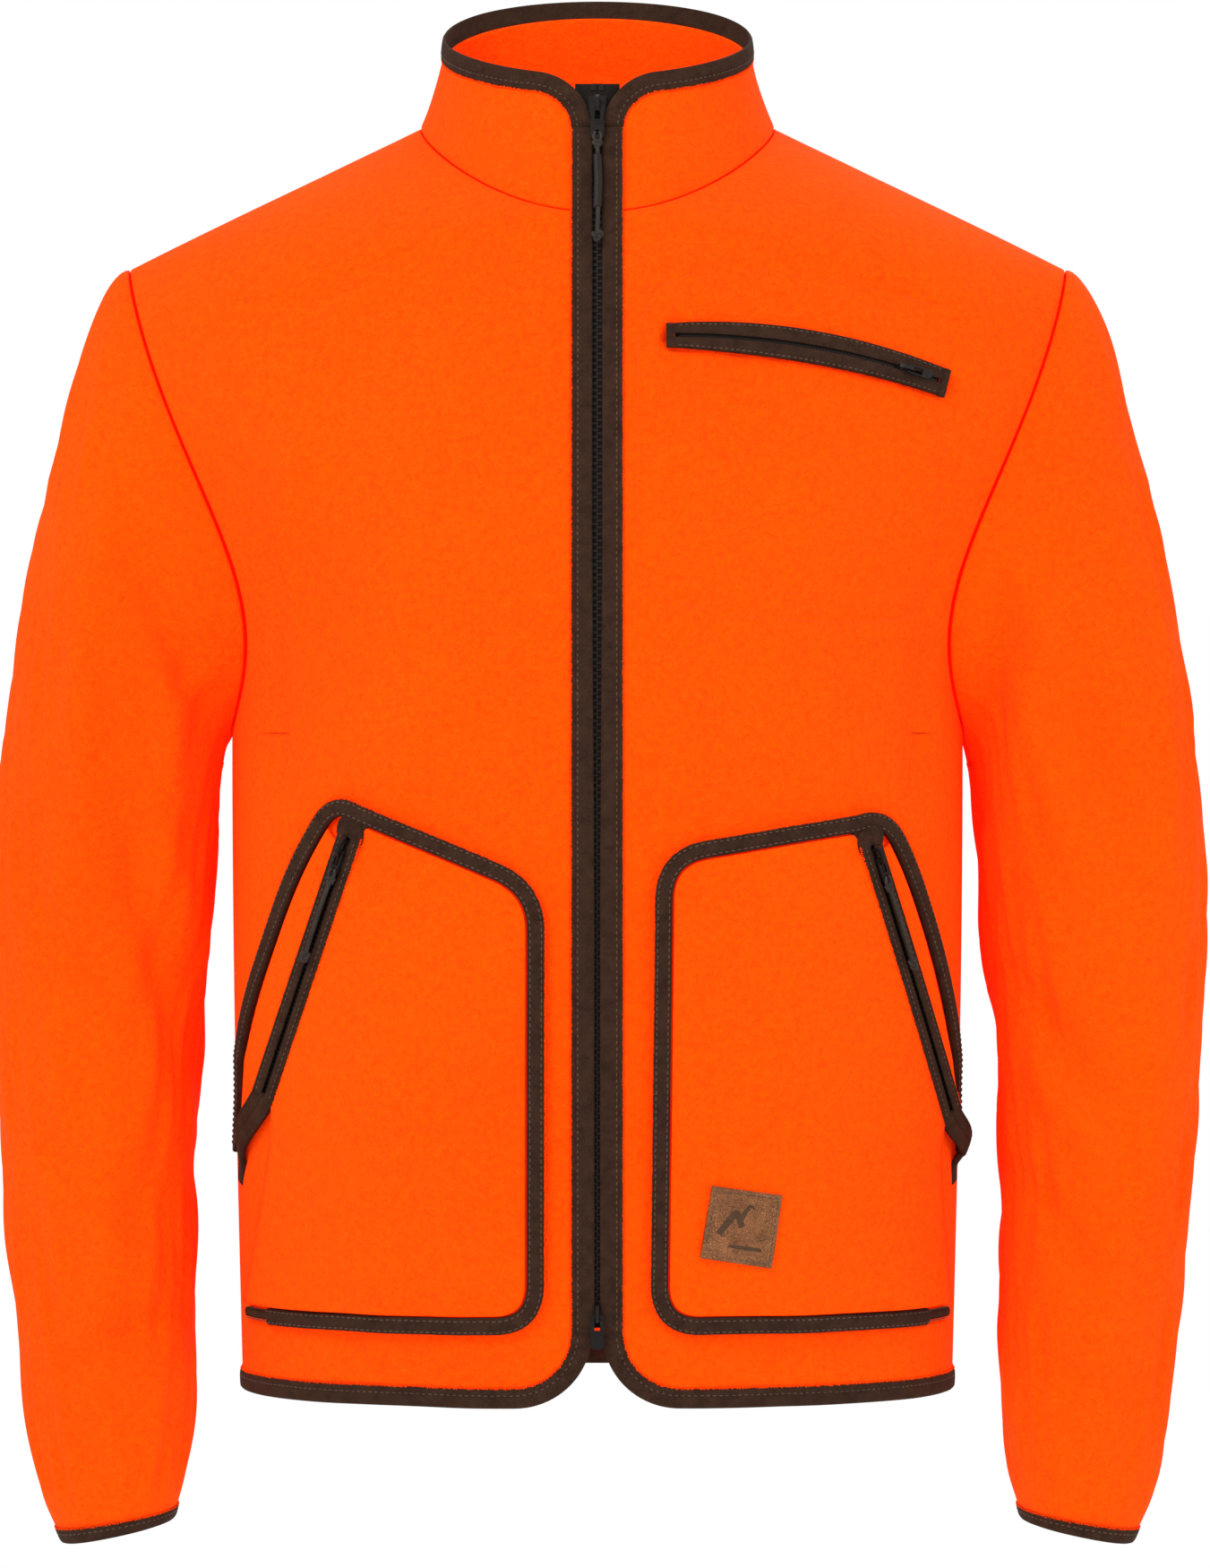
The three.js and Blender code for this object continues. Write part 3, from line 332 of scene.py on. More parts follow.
def sleeve_ring(s):
    """The sleeve's outer and inner lines and half its depth: it fans round the underarm (0 to 1) and
    then hangs to the cuff (2)."""
    s = np.asarray(s, float)
    f, k = np.clip(s, 0, 1), np.clip(s - 1, 0, 1)
    fan_out = bezier(shoulder_line, f)
    fan_in = underarm_point + xyz(2.5 * MM * f, 0, -16 * MM * f)
    z = underarm_height - sleeve_length * k
    x = underarm_point[0] + np.interp(k, *sleeve_outs)
    lower = 6 * MM * np.clip((k - 0.8) / 0.2, 0, 1)
    outer_tilt = 4.2 * MM * np.clip(k / 0.12, 0, 1) * np.clip((0.25 - k) / 0.13, 0, 1)
    inner_tilt = 16 * MM * np.clip(1 - k / 0.25, 0, 1)
    forward = -14 * MM * k * k
    hang_out = xyz(x + np.interp(k, *sleeve_widths), forward, z + outer_tilt - lower)
    hang_in = xyz(x, forward, z - inner_tilt + lower)
    hangs = (s > 1)[..., None]
    depth = np.where(s > 1, np.interp(k, *sleeve_depths) / 2, lerp(armhole_depth, bicep_depth / 2, f))
    return np.where(hangs, hang_out, fan_out), np.where(hangs, hang_in, fan_in), depth


def sleeve_point(angle, s):
    outer, inner, depth = sleeve_ring(s)
    share = (1 - power(np.cos(angle))) / 2
    p = lerp(outer, inner, share[..., None])
    p[..., 1] -= depth * power(np.sin(angle))
    p[..., 0] -= np.sin(np.pi * share * share) * armhole_scoop * np.maximum(0, 1 - 1.4 * s) ** 2
    return p


def sleeve_frame(angle, s):
    angle, s = np.broadcast_arrays(np.asarray(angle, float), np.asarray(s, float))
    d = 0.01
    da = sleeve_point(angle + d, s) - sleeve_point(angle - d, s)
    ds = sleeve_point(angle, np.minimum(s + d, 2)) - sleeve_point(angle, np.maximum(s - d, 0))
    n = unit(np.cross(ds, da))
    outer, inner, _ = sleeve_ring(s)
    spoke = sleeve_point(angle, s) - (outer + inner) / 2
    return sleeve_point(angle, s), n * np.sign((n * spoke).sum(-1, keepdims=True))


print("sleeve's width at the top, elbow, wrist and cuff", bicep_width, elbow_width, wrist_width, cuff_width)

# %% [markdown]
# The stand collar rises from the neck seam and leans in toward a narrower top. Its corners beside the
# zip are cut to a radius, so its cloth stops short of the top there.

# %% The collar's surface
collar_rise = 0.5 * MM


def collar_point(c, h):
    """The stand collar: c from its front edge (0) to the middle of the back (1), h from the neck seam
    (0) to its top (1)."""
    c, h = np.broadcast_arrays(np.asarray(c, float), np.asarray(h, float))
    lean = 1 - (1 - h) ** 2.2
    first = np.arcsin(panel_edge / lerp(neck_half, collar_top_half, lean))
    angle = lerp(first, np.pi, c)
    foot = neck_seam(angle)
    foot[..., 2] += collar_rise
    tilt = np.cos(angle)
    middle = (collar_back_depth - front_depth_collar) / 2
    top = xyz(
        collar_top_half * np.sin(angle),
        middle - (collar_back_depth + front_depth_collar) / 2 * tilt,
        lerp(collar_back_top, collar_front_top, (1 + tilt) / 2),
    )
    return xyz(lerp(foot[..., 0], top[..., 0], lean), lerp(foot[..., 1], top[..., 1], h),
               lerp(foot[..., 2], top[..., 2], h))


def collar_frame(c, h):
    d = 0.002
    c, h = np.broadcast_arrays(np.asarray(c, float), np.asarray(h, float))
    du = collar_point(np.minimum(c + d, 1), h) - collar_point(np.maximum(c - d, 0), h)
    dv = collar_point(c, np.minimum(h + d, 1)) - collar_point(c, np.maximum(h - d, 0))
    return collar_point(c, h), unit(np.cross(du, dv))


collar_corner = 20 * MM


def collar_cloth_top(c):
    c = np.asarray(c, float)
    height = collar_point(c, 1)[..., 2] - collar_point(c, 0)[..., 2]
    from_edge = np.where(c > 0.5, 1, collar_point(c, 1)[..., 0] - collar_point(0, 1)[..., 0])
    inside = collar_corner - np.clip(from_edge, 0, collar_corner)
    drop = collar_corner - np.sqrt(collar_corner**2 - inside**2)
    return 1 - (binding_width + drop) / height


print("collar height at the front", np.round(collar_point(0, 1)[2] - collar_point(0, 0)[2], 3))

# %% [markdown]
# ## Camera and light
# The jacket is looked at from straight in front, about three metres off, with its zip a little right
# of the middle of the view. A long lens keeps the sleeves from bulging. Big soft lights and a pale
# surround leave only gentle shade in the folds, and a pale floor lies so far below the hem that it
# catches no hard shadow.

# %% Camera
view_distance = 3.0
sight_height = -362 * MM
frame_width = 648.5 * MM

camera_data = bpy.data.cameras.new("camera")
camera = bpy.data.objects.new("camera", camera_data)
bpy.context.collection.objects.link(camera)
camera.location = (4 * MM, -view_distance, sight_height)
camera.rotation_euler = (math.pi / 2, 0, 0)
camera_data.sensor_fit = "HORIZONTAL"
camera_data.sensor_width = 36
camera_data.lens = 36 * view_distance / frame_width
camera_data.clip_end = 50
bpy.context.scene.camera = camera
print("lens", round(camera_data.lens, 1), "mm")

# %% [markdown]
# Three soft boxes light the jacket: a strong one high on its right, a weak one on its left and one
# behind that parts the shoulders from the surround. The surround is white on all sides.

# %% Lights and the pale surround
scene = bpy.context.scene
scene.view_settings.view_transform = "Standard"
scene.view_settings.look = "None"


def soft_light(name, place, size, watts, target=(0, 0, -0.36)):
    """A square soft box that faces the jacket."""
    data = bpy.data.lights.new(name, "AREA")
    data.energy = watts
    data.size = size
    lamp = bpy.data.objects.new(name, data)
    bpy.context.collection.objects.link(lamp)
    lamp.location = place
    lamp.rotation_euler = (Vector(target) - Vector(place)).to_track_quat("-Z", "Y").to_euler()
    return lamp


soft_light("key_light", (-1.5, -2.4, 1.7), 1.3, 62)
soft_light("fill_light", (2.1, -2.0, 0.2), 1.6, 16)
soft_light("back_light", (0.6, 2.6, 1.4), 1.6, 34)

world = bpy.data.worlds.new("surround")
scene.world = world
world.use_nodes = True
world.node_tree.nodes["Background"].inputs["Color"].default_value = (1, 1, 1, 1)
world.node_tree.nodes["Background"].inputs["Strength"].default_value = 1.0
print("lights", len(bpy.data.lights))

# %% [markdown]
# ## Finishes
# A finish is a small recipe of nodes. The class below wraps one socket, so that a recipe reads as
# arithmetic: adding two tones adds the node that adds them. Numbers go through Math nodes, colours
# and vectors through Vector Math and Mix, and every other node comes from one method.

# %% A socket that does arithmetic


class Tone:
    """One socket among a finish's nodes."""

    def __init__(self, tree, socket=None):
        self.tree = tree
        self.socket = socket

    def node(self, kind, settings=None, sockets=None, output=0):
        """Adds a node: its settings are set first, and then its sockets' values or links."""
        made = self.tree.nodes.new("ShaderNode" + kind)
        for name, value in (settings or {}).items():
            if name == "stops":
                while len(made.color_ramp.elements) < len(value):
                    made.color_ramp.elements.new(1)
                for element, (place, colour) in zip(made.color_ramp.elements, value):
                    element.position = place
                    element.color = (*colour, 1)
            else:
                setattr(made, name, value)
        for name, value in (sockets or {}).items():
            if isinstance(value, Tone):
                self.tree.links.new(value.socket, made.inputs[name])
            else:
                made.inputs[name].default_value = value
        return Tone(self.tree, made.outputs[output])

    def _pair(self, operation, first, second):
        wide = any(isinstance(t, Tone) and t.socket.type != "VALUE" for t in (first, second))
        return self.node("VectorMath" if wide else "Math", {"operation": operation}, {0: first, 1: second})

    def __add__(self, other):
        return self._pair("ADD", self, other)

    def __radd__(self, other):
        return self._pair("ADD", other, self)

    def __sub__(self, other):
        return self._pair("SUBTRACT", self, other)

    def __rsub__(self, other):
        return self._pair("SUBTRACT", other, self)

    def __mul__(self, other):
        return self._pair("MULTIPLY", self, other)

    def __rmul__(self, other):
        return self._pair("MULTIPLY", other, self)

    def __truediv__(self, other):
        return self._pair("DIVIDE", self, other)

    def __pow__(self, other):
        return self._pair("POWER", self, other)

    def noise(self, scale, detail=3.0, roughness=0.5):
        """Cloudy noise at this place, with so many lumps to the metre."""
        return self.node("TexNoise", {}, {"Vector": self, "Scale": scale, "Detail": detail,
                                          "Roughness": roughness})

    def ramp(self, low, high):
        """0 below low and 1 above high."""
        return self.node("MapRange", {"interpolation_type": "SMOOTHSTEP"},
                         {"Value": self, "From Min": low, "From Max": high})

    def between(self, dark, light):
        """A colour from dark, where this is 0, to light, where it is 1."""
        return self.node("Mix", {"data_type": "RGBA"}, {0: self, 6: dark, 7: light}, output=2)

    def sine(self):
        return self.node("Math", {"operation": "SINE"}, {0: self})

    def part(self, index):
        return self.node("SeparateXYZ", {}, {0: self}, output=index)


def finish(name, recipe, **constants):
    """A material. The recipe gets the place and the cloth's own coordinates, and gives what varies."""
    material = bpy.data.materials.new(name)
    material.use_nodes = True
    tree = material.node_tree
    shader = tree.nodes["Principled BSDF"]
    start = Tone(tree)
    place = start.node("TexCoord", output=3)
    weave = start.node("TexCoord", output=2)
    for socket, value in constants.items():
        shader.inputs[socket.replace("_", " ")].default_value = value
    for socket, tone in recipe(place, weave).items():
        if socket == "Height":
            depth, height = tone
            tone = start.node("Bump", {}, {"Distance": depth, "Height": height, "Strength": 1.0})
            socket = "Normal"
        tree.links.new(tone.socket, shader.inputs[socket])
    return material


print("operators of a tone", [name for name in vars(Tone) if name.endswith(("add__", "sub__", "mul__"))])

# %% [markdown]
# ### Fleece
# The fleece is knitted polyester whose loops are brushed up into a short dense pile. Its dye is
# fluorescent. The pile is a cloudy bump at two sizes, and its colour carries painted shade, darker
# where the pile is low. A sheen catches the fibre tips, and a weak, even red glow, which is painted
# light, keeps the shaded folds bright and only redder there; it stands for the light that the dye gives
# back.

# %% The fleece finish
# orange_pile_lit is the fleece's colour where its pile stands high; orange_pile_shade is a darker copy,
# painted shade for the hollows where the pile is low.
orange_pile_lit = (1.0, 0.096, 0.0, 1)
orange_pile_shade = (0.95, 0.052, 0.0, 1)


def fleece_recipe(place, weave):
    clumps = place.noise(240, 2.0, 0.55)
    fibres = place.noise(1100, 4.0, 0.7)
    whorls = place.node("TexVoronoi", {"feature": "SMOOTH_F1"},
                        {"Vector": place + clumps * 0.004, "Scale": 420})
    pile = clumps * 0.26 + fibres * 0.48 + (1 - whorls) * 0.26
    drift = place.noise(7, 1.0)
    # Painted shade: the colour follows the pile's bump, darker where it is low, with a slow random drift of
    # tone mixed in.
    colour = (pile * 0.86 + drift * 0.14).ramp(0.3, 0.7).between(orange_pile_shade, orange_pile_lit)
    return {"Base Color": colour, "Height": (0.0024, pile)}


# The emission is painted light: an even red glow that keeps the fleece bright, and only redder, in its
# shaded folds.
fleece = finish(
    "fleece", fleece_recipe,
    Roughness=0.97, Sheen_Weight=0.25, Sheen_Roughness=0.4, Sheen_Tint=(1.0, 0.2, 0.03, 1),
    Specular_IOR_Level=0.05, Emission_Color=(1.0, 0.008, 0.0, 1), Emission_Strength=0.3,
)
print("fleece nodes", len(fleece.node_tree.nodes))

# %% [markdown]
# ### Trims
# The binding is a folded stretch tape with a brushed face and a fine rib along it. The zip's tape is
# a plain weave, its teeth are moulded plastic, its sliders are painted metal worn in random patches,
# the cords are braided, and the patch is waxed leather.

# %% The trims' finishes


def cloth_recipe(dark, light, along, across, depth):
    """A close weave: two crossing ribs with fibre noise."""

    def recipe(place, weave):
        ribs = (weave.part(0) * (along * math.tau)).sine()
        threads = (weave.part(1) * (across * math.tau)).sine()
        fuzz = place.noise(1400, 3.0, 0.7)
        wear = place.noise(160, 3.0, 0.6)
        height = ribs * threads * 0.2 + fuzz * 0.6 + wear * 0.25
        tone = (fuzz * 0.6 + wear * 0.4 + ribs * threads * 0.08).ramp(0.3, 0.72)
        return {"Base Color": tone.between((*dark, 1), (*light, 1)), "Height": (depth, height)}

    return recipe


binding = finish(
    "binding", cloth_recipe((0.018, 0.0075, 0.0042), (0.052, 0.024, 0.0135), 900, 700, 0.0009),
    Roughness=0.95, Sheen_Weight=0.04, Sheen_Roughness=0.5, Sheen_Tint=(0.6, 0.3, 0.15, 1),
    Specular_IOR_Level=0.1,
)
zip_cloth = finish(
    "zip tape", cloth_recipe((0.009, 0.007, 0.006), (0.02, 0.014, 0.011), 1400, 1100, 0.0004),
    Roughness=0.9, Specular_IOR_Level=0.1,
)
thread = finish(
    "binding thread", cloth_recipe((0.05, 0.028, 0.018), (0.115, 0.065, 0.042), 2600, 900, 0.0002),
    Roughness=0.7, Specular_IOR_Level=0.35,
)
# The emission is painted light: an even red glow, as on the fleece.
orange_thread = finish(
    "fleece thread", cloth_recipe((0.75, 0.045, 0.0), (0.95, 0.075, 0.0), 2600, 900, 0.0002),
    Roughness=0.75, Emission_Color=(1.0, 0.012, 0.0, 1), Emission_Strength=0.15,
)
braid = finish(
    "cord", cloth_recipe((0.01, 0.008, 0.006), (0.045, 0.033, 0.025), 700, 500, 0.0008),
    Roughness=0.8, Specular_IOR_Level=0.3,
)
# The emission is painted light: an even red glow, as on the fleece.
lining = finish(
    "pocket lining", cloth_recipe((0.78, 0.035, 0.0), (0.95, 0.07, 0.0), 500, 500, 0.0004),
    Roughness=0.85, Emission_Color=(1.0, 0.012, 0.0, 1), Emission_Strength=0.12,
)


def moulded_recipe(place, weave):
    grain = place.noise(700, 2.0)
    return {"Base Color": grain.between((0.008, 0.0055, 0.0045, 1), (0.02, 0.013, 0.01, 1)),
            "Roughness": grain.node("MapRange", {}, {"Value": grain, "To Min": 0.36, "To Max": 0.55}),
            "Height": (0.0001, grain)}


moulded = finish("zip teeth", moulded_recipe, Specular_IOR_Level=0.14)


def painted_recipe(place, weave):
    worn = place.noise(260, 4.0, 0.7).ramp(0.6, 0.75)
    return {"Base Color": worn.between((0.007, 0.005, 0.0042, 1), (0.026, 0.018, 0.014, 1)),
            "Roughness": worn.node("MapRange", {}, {"Value": worn, "To Min": 0.38, "To Max": 0.5}),
            "Height": (0.0001, place.noise(900, 2.0))}


painted = finish("zip slider", painted_recipe, Specular_IOR_Level=0.12, Coat_Weight=0.03, Coat_Roughness=0.3)


def leather_recipe(place, weave):
    cells = place.node("TexVoronoi", {"feature": "DISTANCE_TO_EDGE"}, {"Vector": place, "Scale": 950})
    grain = cells.ramp(0.0, 0.25)
    cloud = place.noise(120, 4.0, 0.6)
    colour = (grain * 0.35 + cloud * 0.75).ramp(0.3, 0.85).between(
        (0.105, 0.038, 0.013, 1), (0.30, 0.122, 0.047, 1))
    return {"Base Color": colour, "Height": (0.0003, grain * 0.6 + cloud * 0.4)}


leather = finish("leather", leather_recipe, Roughness=0.6, Specular_IOR_Level=0.16)


def pressed_recipe(place, weave):
    cloud = place.noise(300, 3.0, 0.6)
    return {"Base Color": cloud.between((0.04, 0.021, 0.012, 1), (0.085, 0.046, 0.026, 1)),
            "Height": (0.0002, cloud)}


pressed = finish("pressed leather", pressed_recipe, Roughness=0.7, Specular_IOR_Level=0.1)
print("finishes", len(bpy.data.materials))

# %% [markdown]
# ## Making pieces
# Every piece is a mesh written point by point. A cloth is a grid of places with a thickness, and a
# trim is a section that follows a line. Both get coordinates in metres for their weave.

# %% Points and faces into a piece


def piece(name, points, faces, material, slot, nodes=(), body="jacket", weave=None, crease=None):
    """A named mesh that rides on a body and stands for its solids."""
    mesh = bpy.data.meshes.new(name)
    mesh.from_pydata(np.asarray(points).reshape(-1, 3).tolist(), [], faces)
    if weave is not None:
        layer = mesh.uv_layers.new(name="weave")
        corner = np.empty(len(mesh.loops), int)
        mesh.loops.foreach_get("vertex_index", corner)
        layer.data.foreach_set("uv", np.asarray(weave, float)[corner].ravel())
    solid = bmesh.new()
    solid.from_mesh(mesh)
    bmesh.ops.recalc_face_normals(solid, faces=solid.faces)
    solid.to_mesh(mesh)
    solid.free()
    mesh.shade_smooth()
    if crease:
        mesh.set_sharp_from_angle(angle=math.radians(crease))
    mesh.materials.append(material)
    made = bpy.data.objects.new(name, mesh)
    bpy.context.collection.objects.link(made)
    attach(made, body)
    if nodes:
        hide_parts(*nodes)
    return made


def ring_faces(rows, cols, start=0, wraps=True):
    """Quads between rows of points, each row a ring where it wraps."""
    i, j = np.meshgrid(np.arange(rows - 1), np.arange(cols if wraps else cols - 1), indexing="ij")
    k = (j + 1) % cols
    quads = np.stack([i * cols + j, i * cols + k, (i + 1) * cols + k, (i + 1) * cols + j], -1)
    return (quads.reshape(-1, 4) + start).tolist()


def cloth_piece(name, places, out, material, slot, nodes=(), thickness=cloth, wraps=False):
    """A cloth: its right side is the grid of places, and its wrong side lies a thickness below."""
    rows, cols = places.shape[:2]
    under = places - out * thickness
    faces = ring_faces(rows, cols, 0, wraps)
    count = rows * cols
    faces += [[d + count, c + count, b + count, a + count] for a, b, c, d in faces]
    index = np.arange(count).reshape(rows, cols)
    rims = [index[0], index[-1]] if wraps else [
        np.concatenate([index[0], index[1:, -1], index[-1, -2::-1], index[-2:0:-1, 0]])]
    for rim in rims:
        ahead = np.roll(rim, -1)
        faces += np.stack([rim, ahead, ahead + count, rim + count], -1).tolist()
    across = np.linalg.norm(np.diff(places, axis=1, prepend=places[:, :1]), axis=-1).cumsum(1)
    up = np.linalg.norm(np.diff(places, axis=0, prepend=places[:1]), axis=-1).cumsum(0)
    weave = np.concatenate([np.stack([across, up], -1).reshape(-1, 2)] * 2)
    return piece(name, np.concatenate([places, under]), faces, material, slot, nodes, weave=weave)


def trim_mesh(line, section):
    """Points, faces and weave of a section that follows a line (places, across, out)."""
    places, across, out = line
    section = np.broadcast_to(section, (len(places), *np.shape(section)[-2:]))
    points = places[:, None] + across[:, None] * section[..., :1] + out[:, None] * section[..., 1:]
    rows, cols = points.shape[:2]
    faces = ring_faces(rows, cols)
    faces += [list(range(cols)), list(range(rows * cols - 1, (rows - 1) * cols - 1, -1))]
    run = np.linalg.norm(np.diff(places, axis=0, prepend=places[:1]), axis=-1).cumsum()
    girth = np.linalg.norm(np.diff(section, axis=1, prepend=section[:, :1]), axis=-1).cumsum(1)
    weave = np.stack([np.broadcast_to(run[:, None], girth.shape), girth], -1).reshape(-1, 2)
    return points.reshape(-1, 3), faces, weave


def trim(name, line, section, material, slot, nodes=(), **more):
    points, faces, weave = trim_mesh(line, section)
    return piece(name, points, faces, material, slot, nodes, weave=weave, **more)


def heap(name, parts, material, slot, nodes=(), **more):
    """Many small closed shapes as one piece."""
    points, faces, count = [], [], 0
    for some, ring in parts:
        points.append(some)
        faces += [[i + count for i in face] for face in ring]
        count += len(some)
    return piece(name, np.concatenate(points), faces, material, slot, nodes, **more)


def run_length(points):
    """How far along a line of places each of them is."""
    return np.concatenate([[0], np.linalg.norm(np.diff(points, axis=0), axis=1).cumsum()])


def read_line(at, run, values):
    """A line's values at some lengths along it."""
    return np.stack([np.interp(at, run, values[:, k]) for k in range(values.shape[1])], -1)


def line_frames(places, out, side=1.0):
    """A line's places with its directions across, in the cloth, and out of it."""
    along = unit(np.gradient(places, axis=0))
    out = unit(out - along * (along * out).sum(-1, keepdims=True))
    return places, np.cross(along, out) * side, out


def resample(points, count=None, step=None):
    """Evenly spaced points along a line of places."""
    points = np.asarray(points, float)
    run = run_length(points)
    count = count or max(2, int(round(run[-1] / step)) + 1)
    return read_line(np.linspace(0, run[-1], count), run, points)


def fade(value, low, high):
    k = np.clip((value - low) / (high - low), 0, 1)
    return k * k * (3 - 2 * k)


def mirror(places):
    return places * np.array((-1.0, 1, 1))


print("faces between two rings of twelve points", len(ring_faces(2, 12)))


# %% [markdown]
# ## Folds
# Worn fleece is thick, so it falls in long soft folds. A fold is a ridge or a furrow along a short
# line on the front or back, and a slow unevenness lies between them. The folds fade out toward the
# zips, whose sliders need a true track, and toward the seams, where two pieces have to meet.

# %% Furrows and ridges

# Each: from (x, z) to (x, z), half width and height, in millimetres.
sleeve_front_folds = {
    -1: [(-268, -195, -272, -430, 15, 3.2), (-238, -250, -208, -318, 11, -3.6),
         (-250, -372, -214, -520, 10, -3.4), (-232, -372, -206, -470, 9, 2.4),
         (-296, -424, -246, -478, 12, -2.4), (-302, -548, -230, -585, 13, -2.6),
         (-286, -575, -234, -622, 10, 2.2), (-276, -668, -226, -640, 9, -2.6),
         (-255, -520, -262, -690, 13, 2.4), (-226, -300, -222, -372, 8, 3.0)],
    1: [(209, -225, 203, -378, 9, -3.8), (236, -262, 222, -352, 12, 2.6),
        (219, -461, 258, -522, 9, -3.2), (226, -505, 262, -556, 10, 2.2),
        (223, -566, 258, -616, 9, -3.0), (292, -205, 305, -430, 17, 3.2),
        (246, -304, 278, -410, 13, -2.6), (300, -470, 292, -600, 15, 2.6),
        (232, -664, 286, -690, 9, -2.6), (270, -600, 262, -700, 12, 2.0)],
}
body_front_folds = [
    (-176, -236, -168, -360, 11, -2.6), (-150, -170, -176, -262, 16, 2.2), (176, -250, 170, -368, 10, -2.4),
    (-60, -300, -110, -352, 22, 1.5), (60, -350, 110, -398, 20, -1.6), (-95, -120, -150, -172, 20, -1.4),
    (-70, -660, -76, -560, 14, 1.2), (96, -662, 88, -648, 12, -1.2), (-128, -664, -130, -640, 12, -1.2),
    (110, -300, 150, -350, 20, 1.4), (48, -420, 60, -560, 16, 1.2), (-48, -430, -58, -560, 16, 1.2),
]
back_folds = [
    (-150, -250, -90, -420, 20, -3.0), (150, -250, 90, -420, 20, -3.0), (-60, -460, -40, -660, 18, 2.4),
    (70, -440, 50, -660, 20, -2.4), (0, -120, 0, -260, 24, 1.8), (-130, -540, -120, -670, 14, -2.0),
    (128, -520, 132, -670, 14, 2.0), (-172, -300, -165, -480, 10, 2.4), (172, -310, 164, -470, 10, -2.4),
]


fold_strength = 2.0


def line_distance(x, z, a, b):
    """How far places are from the line from a to b, and the share of it that they are nearest to."""
    run = b - a
    k = np.clip(((x - a[0]) * run[0] + (z - a[1]) * run[1]) / (run @ run), 0, 1)
    return np.hypot(x - a[0] - k * run[0], z - a[1] - k * run[1]), k


def fold_height(x, z, folds):
    total = np.zeros(np.shape(x))
    for x0, z0, x1, z1, spread, height in folds:
        away, k = line_distance(x, z, np.array((x0, z0)) * MM, np.array((x1, z1)) * MM)
        ends = 0.35 + 0.65 * np.sin(np.pi * np.clip(k, 0.02, 0.98)) ** 0.6
        total = total + fold_strength * height * MM * ends * np.exp(-(away / (spread * MM)) ** 2)
    return total


waves = rng.uniform(-1, 1, (7, 4))


def unevenness(x, z, depth):
    """A slow random swell of the cloth."""
    total = np.zeros(np.shape(x))
    for a, b, phase, strength in waves:
        total = total + strength * np.sin((a * x + b * z) * 95 + phase * 9)
    return total * depth / 2.6


hand_pockets = {
    "left": dict(peak=(147, -380), corner=(34, -399), rim=(171, -416), side=(188, -508),
                 zip_top=(137, -392), zip_middle=(159, -464), zip_end=(180, -535)),
    "right": dict(peak=(134, -372), corner=(31, -415), rim=(163, -408), side=(187, -506),
                  zip_top=(124, -388), zip_middle=(145, -452), zip_end=(169, -525)),
}
hand_pockets = {side: {name: np.array(point) * MM for name, point in shape.items()}
                for side, shape in hand_pockets.items()}
chest_zip = np.array([(178, -153), (112, -137), (39, -131.5)]) * MM


def pocket_zip_points(side):
    return np.array([hand_pockets[side][name] for name in ("zip_end", "zip_middle", "zip_top")])


def off_line(x, z, points):
    """How far places are from a line of points."""
    return np.minimum.reduce([line_distance(x, z, a, b)[0] for a, b in zip(points, points[1:])])


def side_width(z):
    """Half the body's width at a height, to the side seam or the armhole."""
    k = np.sin(np.clip((z - hem_height) / (underarm_height - hem_height), 0, 1) * np.pi / 2)
    low = lerp(hem_half, chest_half, k)
    turn = np.linspace(0, np.pi, 80)
    hole = armhole(turn)
    return np.where(z < underarm_height, low, np.interp(z, hole[::-1, 2], hole[::-1, 0]))


def body_folds(face, x, z):
    calm = fade(side_width(z) - np.abs(x), 0, 34 * MM) * fade(-z, 70 * MM, 130 * MM)
    if face > 0:
        return calm * (fold_height(x, z, back_folds) + unevenness(x, z + 1, 2.0 * MM))
    calm = calm * fade(np.abs(x), 20 * MM, 52 * MM)
    for side, sign in SIDES:
        calm = calm * fade(off_line(x * sign, z, pocket_zip_points(side)), 9 * MM, 30 * MM)
    calm = calm * fade(off_line(x, z, chest_zip), 9 * MM, 26 * MM)
    return calm * (fold_height(x, z, body_front_folds) + unevenness(x, z, 1.3 * MM))


def draped(face, x, z, lift=0.0):
    """Places and outward directions on the draped body, at a signed width and a height."""
    x, z = np.broadcast_arrays(np.asarray(x, float), np.asarray(z, float))
    sign = np.where(x < 0, -1.0, 1.0)
    flip = np.stack([sign, np.ones_like(sign), np.ones_like(sign)], -1)
    places, out = (v * flip for v in on_body(face, np.abs(x), z))
    return places + out * (body_folds(face, x, z) + lift)[..., None], out


print("folds", len(body_front_folds), "in front,", len(back_folds), "behind")

# %% [markdown]
# ## The shell of the jacket
# The shell is two fronts, a back, two set-in sleeves and a stand collar, each cut from 3 mm fleece.
# A seam shows on thick fleece as a soft rolled valley, so each seamed edge turns down a little over
# its last few millimetres. Edges that get a binding stay level, and the binding closes over them.

# %% Fronts


def rolled(places, out, from_edge, depth=0.5 * MM, reach=3.2 * MM):
    """Turns the cloth down toward an edge."""
    k = np.clip(1 - from_edge / reach, 0, 1)
    return places - out * (depth * k * k)[..., None]


def panel_hem_at(x):
    inside = corner_radius - np.minimum(x - panel_edge, corner_radius)
    return panel_hem + corner_radius - np.sqrt(corner_radius**2 - inside**2)


def height_share(z):
    return (z - hem_height) / (underarm_height - hem_height)


low_rows = np.linspace(0, 1, 120)
high_rows = 1 + np.unique(np.concatenate([low_rows, 1 - 0.03 * low_rows[:3]]))[1:]
panel_columns = np.unique(np.concatenate([
    np.linspace(0, 1, 72), [0.004, 0.01, 0.02, 0.034, 0.965, 0.98, 0.99, 0.996]]))


